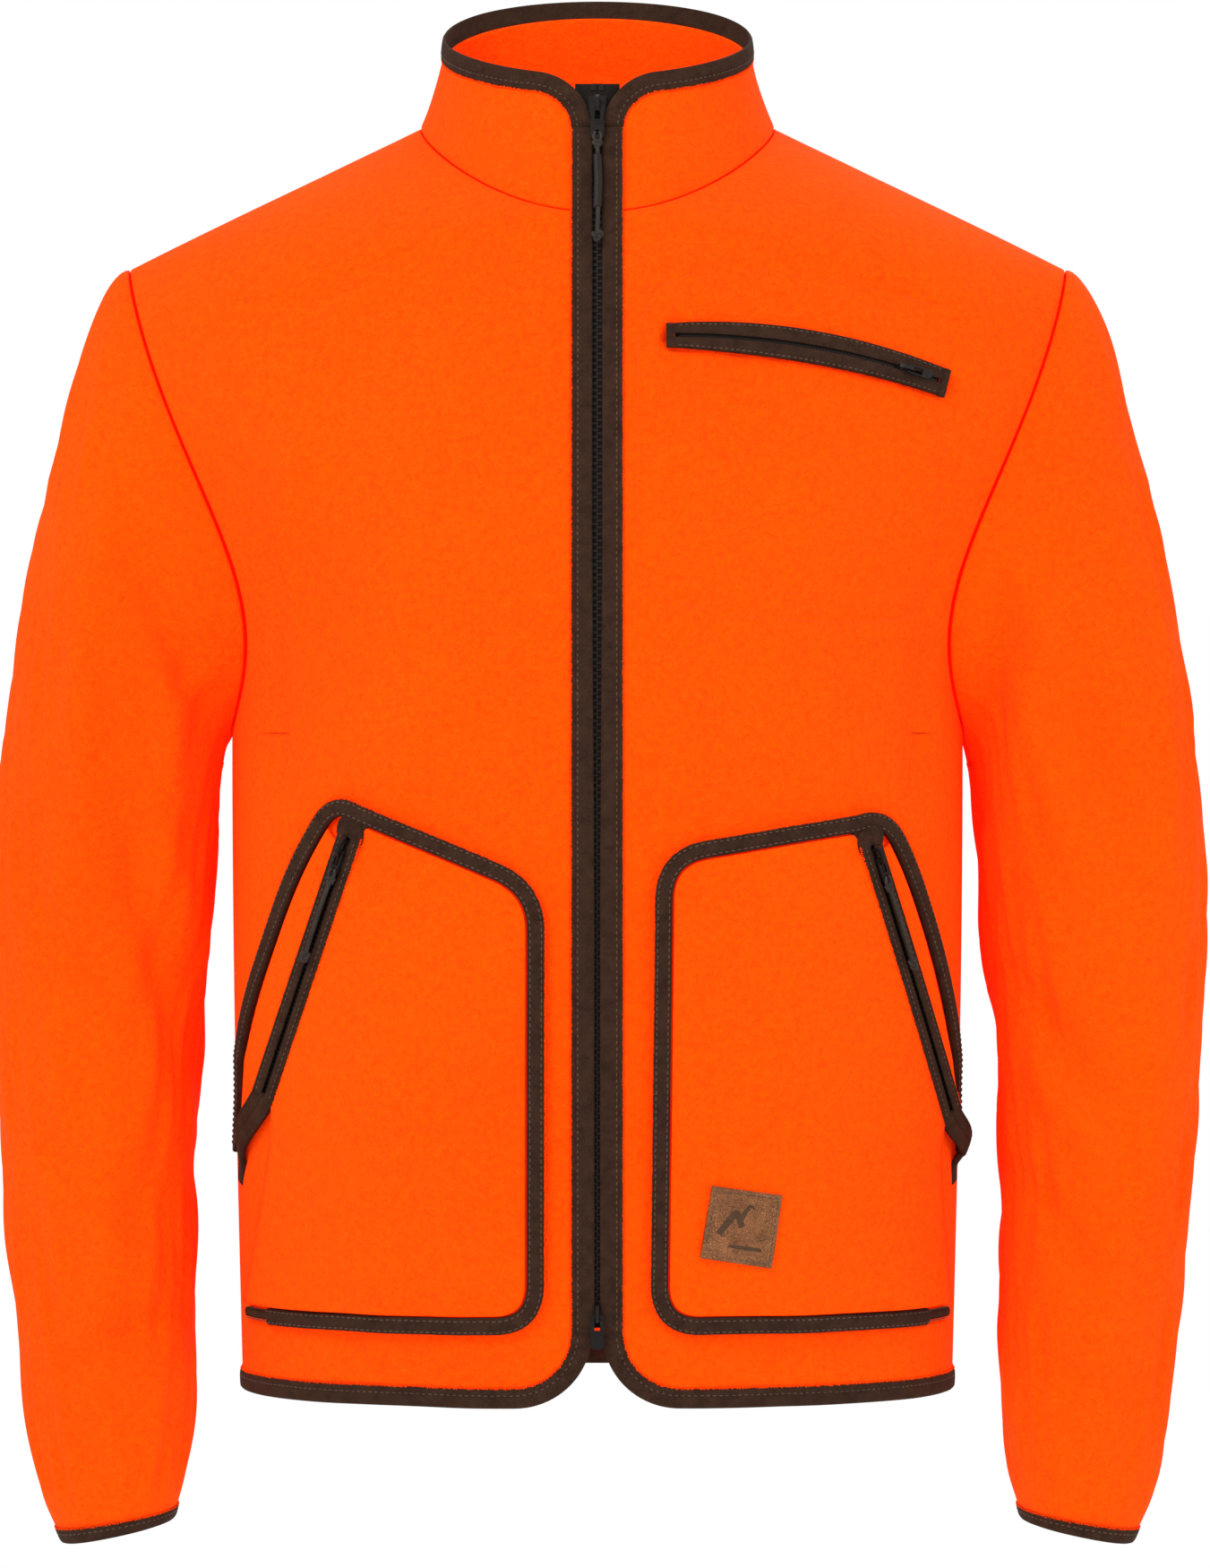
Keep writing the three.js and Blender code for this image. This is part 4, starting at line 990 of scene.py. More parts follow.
def body_grid(face):
    """Shares across and up for one half of the body, inside its seams and bindings."""
    rows_u, rows_v = [], []
    for level in low_rows:
        side = side_line(face, lerp(height_share(panel_hem), 1.0, level))[0]
        x = lerp(panel_edge if face < 0 else 0.0, side, panel_columns)
        low = height_share(panel_hem_at(x)) if face < 0 else height_share(panel_hem)
        v = lerp(low, 1.0, level) * np.ones_like(x)
        rows_u.append(x / side_line(face, v)[..., 0])
        rows_v.append(v)
    for level in high_rows:
        m, s = middle_line(face, level), side_line(face, level)
        start = max(panel_edge, m[0] + 0.2 * MM) if face < 0 else m[0]
        rows_u.append(lerp((start - m[0]) / (s[0] - m[0]), 1.0, panel_columns))
        rows_v.append(np.full(panel_columns.shape, level))
    return np.array(rows_u), np.array(rows_v)


def from_seams(places, face, v):
    """The distance of places from the side, armhole, shoulder and neck seams."""
    x, z = np.abs(places[..., 0]), places[..., 2]
    gaps = [(side_width(z) - x) * 1.25]
    shoulder = np.array([shoulder_point, (neck_half, seam_setback, neck_side)])
    gaps.append(off_line(x, z, shoulder[:, [0, 2]]) + np.where(v > 1.6, 0, 9))
    turn = np.linspace(0, np.pi / 2, 40)
    neck = neck_seam(turn if face < 0 else np.pi - turn)
    gaps.append(off_line(x, z, neck[:, [0, 2]]) + np.where(v > 1.5, 0, 9))
    return np.clip(np.minimum.reduce(gaps), 0, 1)


# The chest bag's outline, in millimetres, sewn through from the inside.
bag_line = np.array([
    (21, -157), (21, -245), (25, -258), (34, -267), (61, -274.6), (100, -278), (140, -278.4),
    (160, -276), (171, -269), (177, -256), (179.5, -232), (181, -190), (183, -150), (185, -124),
    (182, -114), (154, -107.6), (118, -100), (84, -96), (50, -98),
    (33, -105), (24, -118), (21, -135), (21, -157)]) * MM


def front_panel(side, sign):
    u, v = body_grid(-1)
    places, out = body_frame(-1, u, v)
    x = places[..., 0] * sign
    gap = from_seams(places, -1, v)
    places = places + out * body_folds(-1, x, places[..., 2])[..., None]
    places = rolled(places, out, gap)
    if side == "left":
        away = off_line(places[..., 0], places[..., 2], chest_zip)
        places = places - out * (6 * MM * (1 - fade(away, 3.5 * MM, 6.2 * MM)))[..., None]
        near = off_line(places[..., 0], places[..., 2], bag_line)
        places = places - out * (1.2 * MM * np.exp(-(near / (2.6 * MM)) ** 2))[..., None]
    if sign < 0:
        places, out = mirror(places), mirror(out)
    return cloth_piece(f"front_{side}", places, out, fleece, "fleece", [f"front_panel_{side}"])


for side, sign in SIDES:
    print("front", side, "faces", len(front_panel(side, sign).data.polygons))

# %% [markdown]
# The back is one piece, with no seam down its middle. It could be a simulated cloth hung on a form,
# but the folds are few and known, so each half is the shared surface with its own folds, and the
# halves are joined.

# %% Back


def back_panel():
    u, v = body_grid(1)
    places, out = body_frame(1, u, v)
    out[u < 1e-9] *= (0, 1, 1)
    out = unit(out)
    gap = from_seams(places, 1, v)
    halves = []
    for sign in (1, -1):
        x = places[..., 0] * sign
        half = places + out * body_folds(1, x, places[..., 2])[..., None]
        half = rolled(half, out, gap)
        halves.append((half, out) if sign > 0 else (mirror(half), mirror(out)))
    both = [np.concatenate([halves[1][i][:, :0:-1], halves[0][i]], axis=1) for i in (0, 1)]
    return cloth_piece("back", both[0], unit(both[1]), fleece, "fleece", ["back_panel"])


print("back faces", len(back_panel().data.polygons))

# %% [markdown]
# A set-in sleeve is a tube. It starts at the armhole, fans round under the arm and hangs to the cuff,
# so its rings follow those stages, and one stack of rings makes it without a seam to hide.

# %% Sleeves
cuff_binding = 7 * MM
sleeve_end = 2 - cuff_binding / sleeve_length - 0.001


def sleeve_surface(sign, angle, s, lift=0.0):
    """Places and outward directions on a draped sleeve."""
    places, out = sleeve_frame(angle, s)
    x, z = places[..., 0] * sign, places[..., 2]
    front = fade(np.sin(angle), -0.15, 0.35)
    calm = fade(s, 0.04, 0.5) * fade(2 - s, 0.015, 0.09)
    folds = fold_height(x, z, sleeve_front_folds[sign]) * front
    back_set = [(-a, b, -c, d, e, f) for a, b, c, d, e, f in sleeve_front_folds[-sign]]
    folds = folds + fold_height(x, z, back_set) * (1 - front)
    swell = unevenness(x + 0.4 * np.sin(angle), z, 1.5 * MM)
    places = places + out * (calm * (folds + swell) + lift)[..., None]
    if sign < 0:
        places, out = mirror(places), mirror(out)
    return places, out


def sleeve(side, sign):
    s = np.concatenate([[0.012, 0.03, 0.05, 0.075], np.linspace(0.1, 1, 40), np.linspace(1.012, 1.99, 110)])
    s = np.append(s[s < sleeve_end - 0.004], sleeve_end)
    angle = np.linspace(0, 2 * np.pi, 120, endpoint=False)
    angle, s = np.meshgrid(angle, s)
    places, out = sleeve_surface(sign, angle, s)
    places = rolled(places, out, (s - 0.012) * 110 * MM)
    places[..., 0] += sign * 0.4 * MM * (s < 1)
    return cloth_piece(f"sleeve_cloth_{side}", places, out, fleece, "fleece", [f"sleeve_{side}"], wraps=True)


for side, sign in SIDES:
    print("sleeve", side, "faces", len(sleeve(side, sign).data.polygons))

# %% [markdown]
# The stand collar is a shaped strip sewn to the neck seam. Its two front corners are cut round, and
# it leans in toward the neck, so it is built from rows between the neck seam and its own top edge.

# %% Collar
collar_columns = np.unique(np.concatenate([np.linspace(0, 1, 90), [0.003, 0.008, 0.014, 0.03, 0.05]]))


def both_sides(places, out):
    """Joins a half, from the left front to the middle of the back, to its mirror image."""
    out = out.copy()
    out[..., -1, 0] = 0
    return (np.concatenate([places, mirror(places[..., -2::-1, :])], axis=-2),
            unit(np.concatenate([out, mirror(out[..., -2::-1, :])], axis=-2)))


def collar_lean(places, c, h):
    """The collar's own slow waviness."""
    wave = np.sin(places[..., 0] * 70 + 1.0) * np.sin(np.pi * np.clip(h, 0, 1))
    return 1.3 * MM * wave * fade(c, 0.06, 0.2)


def collar_cloth():
    c, k = np.meshgrid(collar_columns, np.unique(np.concatenate([np.linspace(0, 1, 24), [0.01, 0.025]])))
    h = k * collar_cloth_top(c)
    places, out = collar_frame(c, h)
    places, out = both_sides(places, out)
    c, k = (np.concatenate([share, share[:, -2::-1]], 1) for share in (c, k))
    places = places + out * collar_lean(places, c, k)[..., None]
    places = rolled(places, out, k * 60 * MM)
    return cloth_piece("collar_cloth", places, out, fleece, "fleece", ["collar"])


print("collar faces", len(collar_cloth().data.polygons))

# %% [markdown]
# ## Bindings
# The raw edges are closed by a stretch tape folded over them and stitched through. Its section is a
# soft rounded box with a shallow valley where the stitches pull it down. The fleece's pile creeps
# over its edge, so short tufts are set along that line afterwards.

# %% A soft section and the lines that carry it
gap = 0.4 * MM


def soft_section(near, far, low, high, crown=0.35 * MM, round_near=0.9 * MM, round_far=0.9 * MM, valleys=()):
    """A rounded tape section, [across, out], with a stitch valley at each of some places across."""
    span = far - near
    tops = [(near, high - round_near), (near + 0.29 * round_near, high - 0.29 * round_near)]
    marks = [near + round_near, near + 0.3 * span, near + 0.5 * span, near + 0.7 * span, far - round_far]
    marks = sorted(marks + [v + d for v in valleys for d in (-0.6 * MM, 0.0, 0.6 * MM)])
    for a in marks:
        swell = crown * (1 - (2 * (a - near) / span - 1) ** 2)
        dip = 0.45 * MM if any(abs(a - v) < 1e-6 for v in valleys) else 0.0
        tops.append((a, high + swell - dip))
    tops += [(far - 0.29 * round_far, high - 0.29 * round_far), (far, high - round_far)]
    return np.array([(far - 0.3 * MM, low), (near + 0.3 * MM, low)] + tops)


def hem_line():
    """From the left front corner round the hem to the right front corner."""
    turn = np.linspace(0, np.pi / 2, 22)
    corner = np.stack([panel_edge + corner_radius * (1 - np.cos(turn)),
                       panel_hem + corner_radius * (1 - np.sin(turn))], -1)
    side = hem_half * 0.997
    run = np.linspace(panel_edge + corner_radius, side, 70)[1:]
    front = np.concatenate([corner, np.stack([run, np.full(len(run), panel_hem)], -1)])
    behind = np.linspace(side, 0, 90)
    pieces = []
    for sign in (1, -1):
        a, an = draped(-1, front[:, 0] * sign, front[:, 1])
        b, bn = draped(1, behind * sign, np.full(90, panel_hem))
        pieces.append((np.concatenate([a, b]), np.concatenate([an, bn])))
    places = np.concatenate([pieces[0][0], pieces[1][0][-2::-1]])
    out = unit(np.concatenate([pieces[0][1], pieces[1][1][-2::-1]]))
    return line_frames(places, out)


tape_body = dict(material=binding, slot="binding")
stitch_in = 2.1 * MM
hem = hem_line()
grip = 0.9 * MM
hem_section = soft_section(-grip, binding_width, -3.4 * MM, binding_rise, round_far=1.6 * MM,
                           valleys=(gap + stitch_in,))
trim("hem_tape", hem, hem_section, nodes=["hem_binding"], **tape_body)
print("hem stations", len(hem[0]))

# %% [markdown]
# The collar's top edge gets the same tape, but its inner side is thinner, because the solids leave the
# zip's tape room there.

# %% The collar's binding
collar_rim = both_sides(*collar_frame(collar_columns, collar_cloth_top(collar_columns)))
collar_line = line_frames(*collar_rim, side=-1.0)
lip = 1.7 * MM
thin = binding_rise - lip
collar_section = np.array([(-grip, -2.2 * MM), (gap + 1.4 * MM, -2.2 * MM), (gap + 1.4 * MM, thin),
                           (binding_width, thin)])
collar_top = soft_section(-grip, binding_width, thin, binding_rise, round_far=0.8 * MM,
                          valleys=(gap + stitch_in,))[2:]
collar_section = np.concatenate([collar_section, collar_top[::-1]])
trim("collar_tape", collar_line, collar_section, nodes=["collar_binding"], **tape_body)
print("collar binding stations", len(collar_line[0]))

# %% [markdown]
# The tapes beside the main zip are folded double, and their inner edge stops short of the teeth so
# that the slider has its way. Their section has a lip over that way and a body behind it.

# %% The front bindings beside the zip
zip_end_above_hem = 42.5 * MM
zip_to = front_distance(-1 * MM)
flange_from = front_distance(panel_hem + corner_radius) - grip
flange_to = front_distance(collar_point(0, collar_cloth_top(0))[2]) + grip


def flange_section(edge, face, size, opening):
    """The tape beside a zip: a lip over the slider's way, and a body behind it."""
    low, back, reach = face - 1.7 * MM * size, face - 4 * MM * size, 5.4 * MM * size
    top = soft_section(opening, edge, low, face, crown=0.25 * MM, round_near=0.8 * MM * size,
                       round_far=0.7 * MM * size, valleys=(edge - stitch_in * size,))[2:]
    return np.concatenate([[(edge, back), (reach, back), (reach, low), (opening + 0.2 * MM, low)], top])


def flipped(line):
    places, across, out = line
    return places, -across, out


def track_line(track, start, end, step=2.5 * MM):
    places, along, across, out = track.at(np.linspace(start, end, int((end - start) / step) + 2))
    return places, across, out


front_run = track_line(front_track, flange_from, flange_to)
share = np.linspace(0, 1, len(front_run[0]))
openings = lerp(flange_gap_bottom, flange_gap_top, np.clip((share - 0.35) / 0.3, 0, 1))
front_sections = np.array([flange_section(panel_edge + 0.7 * MM, binding_rise, 1, o) for o in openings])
for side, line in (("left", front_run), ("right", flipped(front_run))):
    trim(f"front_tape_{side}", line, front_sections, nodes=[f"front_binding_{side}"], **tape_body)
print("front binding length", round(flange_to - flange_from, 3))

# %% [markdown]
# A cuff's binding is a ring round the end of the sleeve. Its rows lie on the sleeve's own surface at
# rising and falling heights, which gives the folded tape's round edge.

# %% The cuffs' bindings


def cuff_tape(side, sign):
    shares = np.array([0, 0.04, 0.15, 0.3, 0.42, 0.6, 0.8, 0.93, 1])
    lifts = np.array([-0.2, 0.75, 1.15, 0.85, 1.2, 1.35, 1.2, 0.8, 0.0]) * MM
    start = 2 - (cuff_binding + 0.5 * MM) / sleeve_length
    angle = np.linspace(0, 2 * np.pi, 120, endpoint=False)
    s = lerp(start, 2.0, shares)
    angle, s = np.meshgrid(angle, s)
    places, out = sleeve_surface(sign, angle, s)
    places = places + out * lifts[:, None, None]
    cloth_piece(f"cuff_tape_{side}", places, out, binding, "binding", [f"cuff_binding_{side}"],
                thickness=4 * MM, wraps=True)


for side, sign in SIDES:
    cuff_tape(side, sign)
print("cuff binding width", cuff_binding)

# %% [markdown]
# ## Hand pockets
# Each hand pocket is a big patch of fleece laid on the front, closed all round by a tape with two
# rows of stitches. A slanted zip parts it from a narrow side panel. The patch follows the front
# underneath and lifts off it toward the zip, which stands proud.

# %% The pocket's outline
pocket_lift = 1.2 * MM
pocket_face = pocket_lift + 6.4 * MM
pocket_floor, pocket_inner = -640 * MM, 31.5 * MM
pocket_side_corner = 183 * MM
zip_band_half = 6.6 * MM
tape_half = 4.5 * MM
tape_inset = tape_half + 0.8 * MM


def curve_2d(a, b, c, count):
    t = np.linspace(0, 1, count)[:, None]
    return a * (1 - t) ** 2 + b * 2 * t * (1 - t) + c * t * t


def round_corner(before, corner, after, radius=22 * MM):
    start = corner + (before - corner) * radius / np.linalg.norm(before - corner)
    end = corner + (after - corner) * radius / np.linalg.norm(after - corner)
    return curve_2d(start, corner, end, 14)


def pocket_outline(side, top_from=0.08):
    shape = hand_pockets[side]
    foot = np.array((pocket_inner, pocket_floor))
    end = np.array((pocket_side_corner, pocket_floor))
    peak, corner = shape["peak"], shape["corner"]
    run = lambda a, b, start, stop, n: lerp(a, b, np.linspace(start, stop, n)[:, None])
    outer = curve_2d(shape["side"], shape["rim"], peak, 60)
    top = np.concatenate([
        run(peak, corner, top_from, 0.74, 30), round_corner(peak, corner, foot),
        run(corner, foot, 0.18, 0.82, 60), round_corner(corner, foot, end)])
    return outer, top, run(foot, end, 0.24, 1, 50)


def shifted(points, distance):
    along = unit(np.gradient(points, axis=0))
    return points + np.stack([-along[:, 1], along[:, 0]], -1) * distance


pocket_tracks = {}
for side in ("left", "right"):
    places, out = on_body(-1, *pocket_zip_points(side).T)
    places = places + out * pocket_face
    pocket_tracks[side] = Track(places[0], places[1], places[2], out[1])
    print("hand pocket zip", side, round(pocket_tracks[side].length, 3))

# %% [markdown]
# The main panel and the side panel are laid on the front and lifted toward the zip. The tape round
# the patch is one long strip with two rows of stitches. It narrows and sinks where it turns round the
# jacket's side, and there the zip's band bends to meet it.

# %% The pocket's cloths and tapes


def laid_cloth(side, sign, name, line, edge, edge_out, columns, bulge):
    """Cloth laid on the front from a line of plane points to the places of an edge."""
    k = columns[None, :]
    x = lerp(line[:, :1], edge[:, None, 0], k)
    z = lerp(line[:, 1:], edge[:, None, 2], k)
    lift = pocket_lift + cloth
    places, out = draped(-1, x * sign, z, lift)
    flat, _ = draped(-1, edge[:, 0] * sign, edge[:, 2], lift)
    if sign < 0:
        places, out, flat = mirror(places), mirror(out), mirror(flat)
    ease = (k**3)[..., None]
    places = places + (edge - flat)[:, None] * ease
    out = unit(lerp(out, edge_out[:, None], ease))
    rows = np.linspace(0, 1, len(line))[:, None]
    puff = np.sin(np.pi * np.clip(k, 0, 1)) ** 0.8 * np.sin(np.pi * np.clip(rows * 0.96 + 0.02, 0, 1)) ** 0.6
    places = places + out * (bulge * puff)[..., None]
    if sign < 0:
        places, out = mirror(places), mirror(out)
    return cloth_piece(name, places, out, fleece, "fleece", [name.replace("cloth_", "")])


def beside_zip(track, distance, across):
    places, along, aside, out = track.at(distance)
    return places + aside * across - out * 0.9 * MM, out


def zip_edges(side, sign):
    """The two halves of a hand pocket's zip line, each looking away from the teeth."""
    run = track_line(pocket_tracks[side], 0, pocket_tracks[side].length)
    edges = [run, flipped(run)]
    return edges if sign > 0 else [tuple(mirror(v) for v in edge) for edge in edges]


def patch_tape(side, sign):
    """The tape round the patch, from the jacket's side over the peak to the floor's end."""
    outer, top, floor_line = pocket_outline(side)
    peak = hand_pockets[side]["peak"]
    clear = lambda points: points[np.linalg.norm(points - peak, axis=1) > 13 * MM]
    bend = curve_2d(clear(outer)[-1], peak + (0, 3 * MM), clear(top)[0], 12)[1:-1]
    side_run = lerp(side_run_foot, outer[0], np.linspace(0, 0.97, 24)[:, None])
    whole = resample(np.concatenate([side_run, clear(outer), bend, clear(top), floor_line]), step=2.5 * MM)
    at_side, depth = whole[:, 0] > 170 * MM, -whole[:, 1]
    sunk = np.where(at_side, fade(depth, 480 * MM, 535 * MM), 0)
    places, out = draped(-1, whole[:, 0] * sign, whole[:, 1], pocket_lift - 2.4 * MM * sunk)
    line = line_frames(places, out, side=float(sign))
    section = soft_section(-tape_half, tape_half, 0, 4.0 * MM, crown=0.5 * MM, round_near=1.3 * MM,
                           round_far=1.3 * MM, valleys=(-2.9 * MM, 2.9 * MM))
    narrow = 1 - 0.42 * np.where(at_side, fade(depth, 490 * MM, 530 * MM), 0)
    section = section * np.stack([narrow, np.ones(len(narrow))], -1)[:, None]
    trim(f"patch_tape_{side}", line, section, nodes=[f"pocket_tape_{side}"], **tape_body)
    return line


def main_panel(side, sign, rows=120, along=78):
    """The big panel: from the tape's inner line to the zip, and below the zip to the side."""
    track, shape = pocket_tracks[side], hand_pockets[side]
    foot = pocket_floor + tape_inset
    inner = shifted(resample(pocket_outline(side, 0.14)[1], rows + 1), tape_inset)
    inner[-1, 1] = foot
    edge, edge_out = beside_zip(track, np.linspace(track.length, 0, along + 1), -zip_band_half - gap)
    k = np.linspace(0, 1, rows - along + 1)[1:]
    low, low_out = on_body(-1, lerp(shape["zip_end"][0] - zip_band_half, pocket_side_corner, k),
                           lerp(shape["zip_end"][1], foot, k))
    low = low + low_out * (pocket_lift + cloth)
    ease_down = np.exp(-np.arange(len(k)) / 7.0)[:, None]
    low = low + (edge[-1] + (edge[-1] - edge[-2]) - low[0]) * ease_down
    low_out = unit(lerp(low_out, edge_out[-1], ease_down))
    columns = np.unique(np.concatenate([np.linspace(0, 1, 42), [0.01, 0.97]]))
    laid_cloth(side, sign, f"pocket_cloth_panel_{side}", inner, np.concatenate([edge, low]),
               np.concatenate([edge_out, low_out]), columns, 2.6 * MM)


def side_panel(side, sign):
    """The narrow panel between the zip and the tape at the jacket's side."""
    track, outer = pocket_tracks[side], pocket_outline(side)[0]
    side_run = lerp(side_run_foot, outer[0], np.linspace(0, 0.97, 24)[:, None])
    line = shifted(resample(np.concatenate([side_run[7:], outer]), 72), tape_inset)[:-5]
    edge, edge_out = beside_zip(track, np.linspace(1 * MM, track.length - 6 * MM, len(line)),
                                zip_band_half + gap)
    laid_cloth(side, sign, f"pocket_cloth_side_panel_{side}", line, edge, edge_out,
               np.linspace(0, 1, 12), 1.0 * MM)


def band_end(side, sign, end):
    """Closes a zip's band: its tail sinks round the jacket's side, its head tucks under the tape."""
    track, shape = pocket_tracks[side], hand_pockets[side]
    tail = end == "tail"
    inset = 1.5 * MM
    place, _, _, place_out = (v[0] for v in track.at(np.array([inset if tail else track.length - inset])))
    first = place[[0, 2]]
    if tail:
        turn_at, last = np.array((189.2, -557)) * MM, np.array((189.2, -573)) * MM
    else:
        last = shape["zip_top"] + unit(shape["zip_top"] - shape["zip_middle"]) * 9.5 * MM
        turn_at = (first + last) / 2
    share = np.linspace(0, 1, 22)
    places, out = on_body(-1, *curve_2d(first, turn_at, last, 22).T)
    drop = np.linalg.norm(place - places[0])
    places = places + out * lerp(drop, (0.2 if tail else 4.8) * MM, fade(share, 0, 0.85))[:, None]
    places = places + (place - places[0]) * (1 - fade(share, 0, 0.5))[:, None]
    out = unit(lerp(place_out, out, fade(share, 0, 0.6)[:, None]))
    if sign < 0:
        places, out = mirror(places), mirror(out)
    section = soft_section(-band_edge, band_edge, -3.2 * MM, 0, crown=0.3 * MM,
                           valleys=(-band_edge + 1.9 * MM, 0, band_edge - 1.9 * MM))
    line = line_frames(places, out, side=float(-sign if tail else sign))
    trim(f"patch_zip_{end}_{side}", line, section, **tape_body)


band_edge = zip_band_half + 0.9 * MM
side_run_foot = np.array((190.4, -556)) * MM
pocket_lines = {}
for side, sign in SIDES:
    pocket_lines[side] = patch_tape(side, sign)
    main_panel(side, sign)
    side_panel(side, sign)
    facing = flange_section(band_edge, 0, 0.75, 1.35 * MM)
    for part, line in zip(("outer", "inner"), zip_edges(side, sign)):
        trim(f"patch_zip_tape_{part}_{side}", line, facing, nodes=[f"pocket_facing_{part}_{side}"],
             **tape_body)
    for end in ("tail", "head"):
        band_end(side, sign, end)
    print("patch tape stations", side, len(pocket_lines[side][0]))

# %% [markdown]
# ## Chest pocket
# A slit in the left front is closed by a small curved zip between two narrow welts. Its bag hangs
# inside, and shows outside only as a line of stitches that dimples the fleece.

# %% Welts and bag
chest_points, chest_out = on_body(-1, *chest_zip.T)
chest_points = chest_points + chest_out * 3.4 * MM
chest_track = Track(chest_points[0], chest_points[1], chest_points[2], chest_out[1])
chest_run = track_line(chest_track, 0, chest_track.length, step=2 * MM)
chest_share = np.linspace(0, 1, len(chest_run[0]))
welt_half = lerp(lerp(7.4, 6.2, chest_share), 8.6, np.sin(np.pi * chest_share) ** 0.8) * MM
for part, line in (("upper", chest_run), ("lower", flipped(chest_run))):
    sections = np.array([flange_section(edge, 0, 0.55, 1.0 * MM) for edge in welt_half])
    trim(f"chest_tape_{part}", line, sections, nodes=[f"chest_welt_{part}"], **tape_body)
welt_ends = {"outer": (-1.5 * MM, 7.4 * MM), "inner": (chest_track.length + 1.5 * MM, 6.2 * MM)}
for part, (distance, half) in welt_ends.items():
    place, along, across, out = (v[0] for v in chest_track.at(np.array([distance])))
    spots = place + np.outer(np.linspace(-half, half, 14), across)
    bar = (spots, np.repeat(along[None], 14, 0), np.repeat(out[None], 14, 0))
    section = soft_section(-2.2 * MM, 2.2 * MM, -3 * MM, 0.15 * MM, crown=0.2 * MM)
    trim(f"chest_tape_end_{part}", bar, section, **tape_body)


def chest_pouch():
    z = np.linspace(-277, -108, 40)[:, None] * MM
    outer = lerp(180 * MM, 188 * MM, np.linspace(0, 1, 40))[:, None]
    x = lerp(22 * MM, outer, np.linspace(0, 1, 36)[None] ** 0.8)
    places, out = on_body(-1, x, z)
    return cloth_piece("chest_bag", places - out * (cloth + 2 * MM), out, lining, "pocket_lining",
                       ["chest_pocket_bag"], thickness=0.8 * MM)


print("chest zip", round(chest_track.length, 3), "bag faces", len(chest_pouch().data.polygons))

# %% [markdown]
# ## Zips
# The zips are moulded plastic chains on woven tape: each tooth is cast round the tape's edge, with a
# head that locks between two heads opposite. The teeth of the two sides are set half a pitch apart,
# as they are on a closed zip, and are built one by one, because they catch the light.

# %% Teeth and tapes
zip_cloth_look = dict(material=zip_cloth, slot="zip_tape")


def tooth_shape(size):
    """One tooth: [across, along, depth below the face] corners in three rings, and its faces."""
    outline = np.array([
        (2.9, -0.78), (2.9, 0.78), (1.2, 0.8), (0.75, 0.55), (0.35, 0.95), (-0.55, 0.9),
        (-0.85, 0.45), (-0.85, -0.45), (-0.55, -0.9), (0.35, -0.95), (0.75, -0.55), (1.2, -0.8)])
    middle = np.array((1.1, 0))
    rings = [(0.82, 3.35), (1.0, 3.75), (1.0, 5.6), (0.82, 6.0)]
    points = np.concatenate([
        np.column_stack([middle + (outline - middle) * k, np.full(len(outline), depth)])
        for k, depth in rings])
    faces = ring_faces(len(rings), len(outline))
    count = len(outline)
    faces += [list(range(count)), list(range(4 * count - 1, 3 * count - 1, -1))]
    return points * size * MM, faces


def chain(name, track, start, end, size, face, flip, width, nodes, phase, tape_over=0.0):
    """One side of a zip: its teeth, and the tape that they stand on."""
    corners, faces = tooth_shape(size)
    pitch = 3.5 * MM * size
    spots = np.arange(start + (1 + phase) * pitch, end - pitch, pitch)
    places, along, aside, out = track.at(spots)
    side = -1.0 if flip[0] else 1.0
    parts = []
    for p, t, w, n in zip(places, along, aside, out):
        spot = p + np.outer(corners[:, 0], w * side) + np.outer(corners[:, 1], t)
        spot = spot + np.outer(face - corners[:, 2], n)
        parts.append((mirror(spot) if flip[1] else spot, faces))
    heap(f"{name}_teeth", parts, moulded, "zip_teeth", crease=40)
    run = track_line(track, start, end + tape_over, step=4 * MM)
    if flip[0]:
        run = flipped(run)
    if flip[1]:
        run = tuple(mirror(v) for v in run)
    high, low = face - 4.4 * MM * size, face - 5 * MM * size
    near = (-0.25 if phase else 0.03) * MM
    low = low - (0.05 * MM if phase else 0)
    edge = np.array([(near, low), (width, low), (width, high), (2.6 * MM * size, high),
                     (2.2 * MM * size, high + 0.4 * MM * size), (1.2 * MM * size, high + 0.4 * MM * size),
                     (near, high)])
    trim(f"{name}_tape", run, edge, nodes=nodes, **zip_cloth_look)


for side, turn, phase in (("left", False, 0), ("right", True, 0.5)):
    chain(f"zip_{side}", front_track, zip_end_above_hem, zip_to, 1, binding_rise, (turn, False), 11.6 * MM,
          [f"zip_tape_{side}"], phase, 4.4 * MM)
for side, other in (("left", False), ("right", True)):
    track = pocket_tracks[side]
    for part, turn, phase in (("outer", False, 0), ("inner", True, 0.5)):
        chain(f"patch_zip_{part}_{side}", track, 1 * MM, track.length - 1 * MM, 0.75, 0.0, (turn, other),
              6.2 * MM, [f"pocket_zip_{part}_{side}"], phase)
for part, turn, phase in (("upper", False, 0), ("lower", True, 0.5)):
    chain(f"breast_zip_{part}", chest_track, 1 * MM, chest_track.length - 1 * MM, 0.55, 0.0, (turn, False),
          6.3 * MM, [f"chest_zip_{part}"], phase)
print("main zip's teeth", int((zip_to - zip_end_above_hem) / (3.5 * MM)), "on each side")

# %% [markdown]
# ### Sliders, stops and pull tabs
# The frame's own sliders have the right plates, bails and tabs, so they stay and get painted metal.
# A real casting has no sharp edge, so a bevel rounds them, and small raised ribs for the thumb are
# added on each tab, riding with it.

# %% Painted hardware


def soften_casting(node, width):
    """Rounds a frame node's edges with a modifier, and paints it."""
    part = frame["nodes"][node]
    for place in part.material_slots:
        place.material = painted
    bevel = part.modifiers.new("rounded edges", "BEVEL")
    bevel.width = width
    bevel.segments = 2
    bevel.limit_method = "ANGLE"
    bevel.angle_limit = math.radians(35)


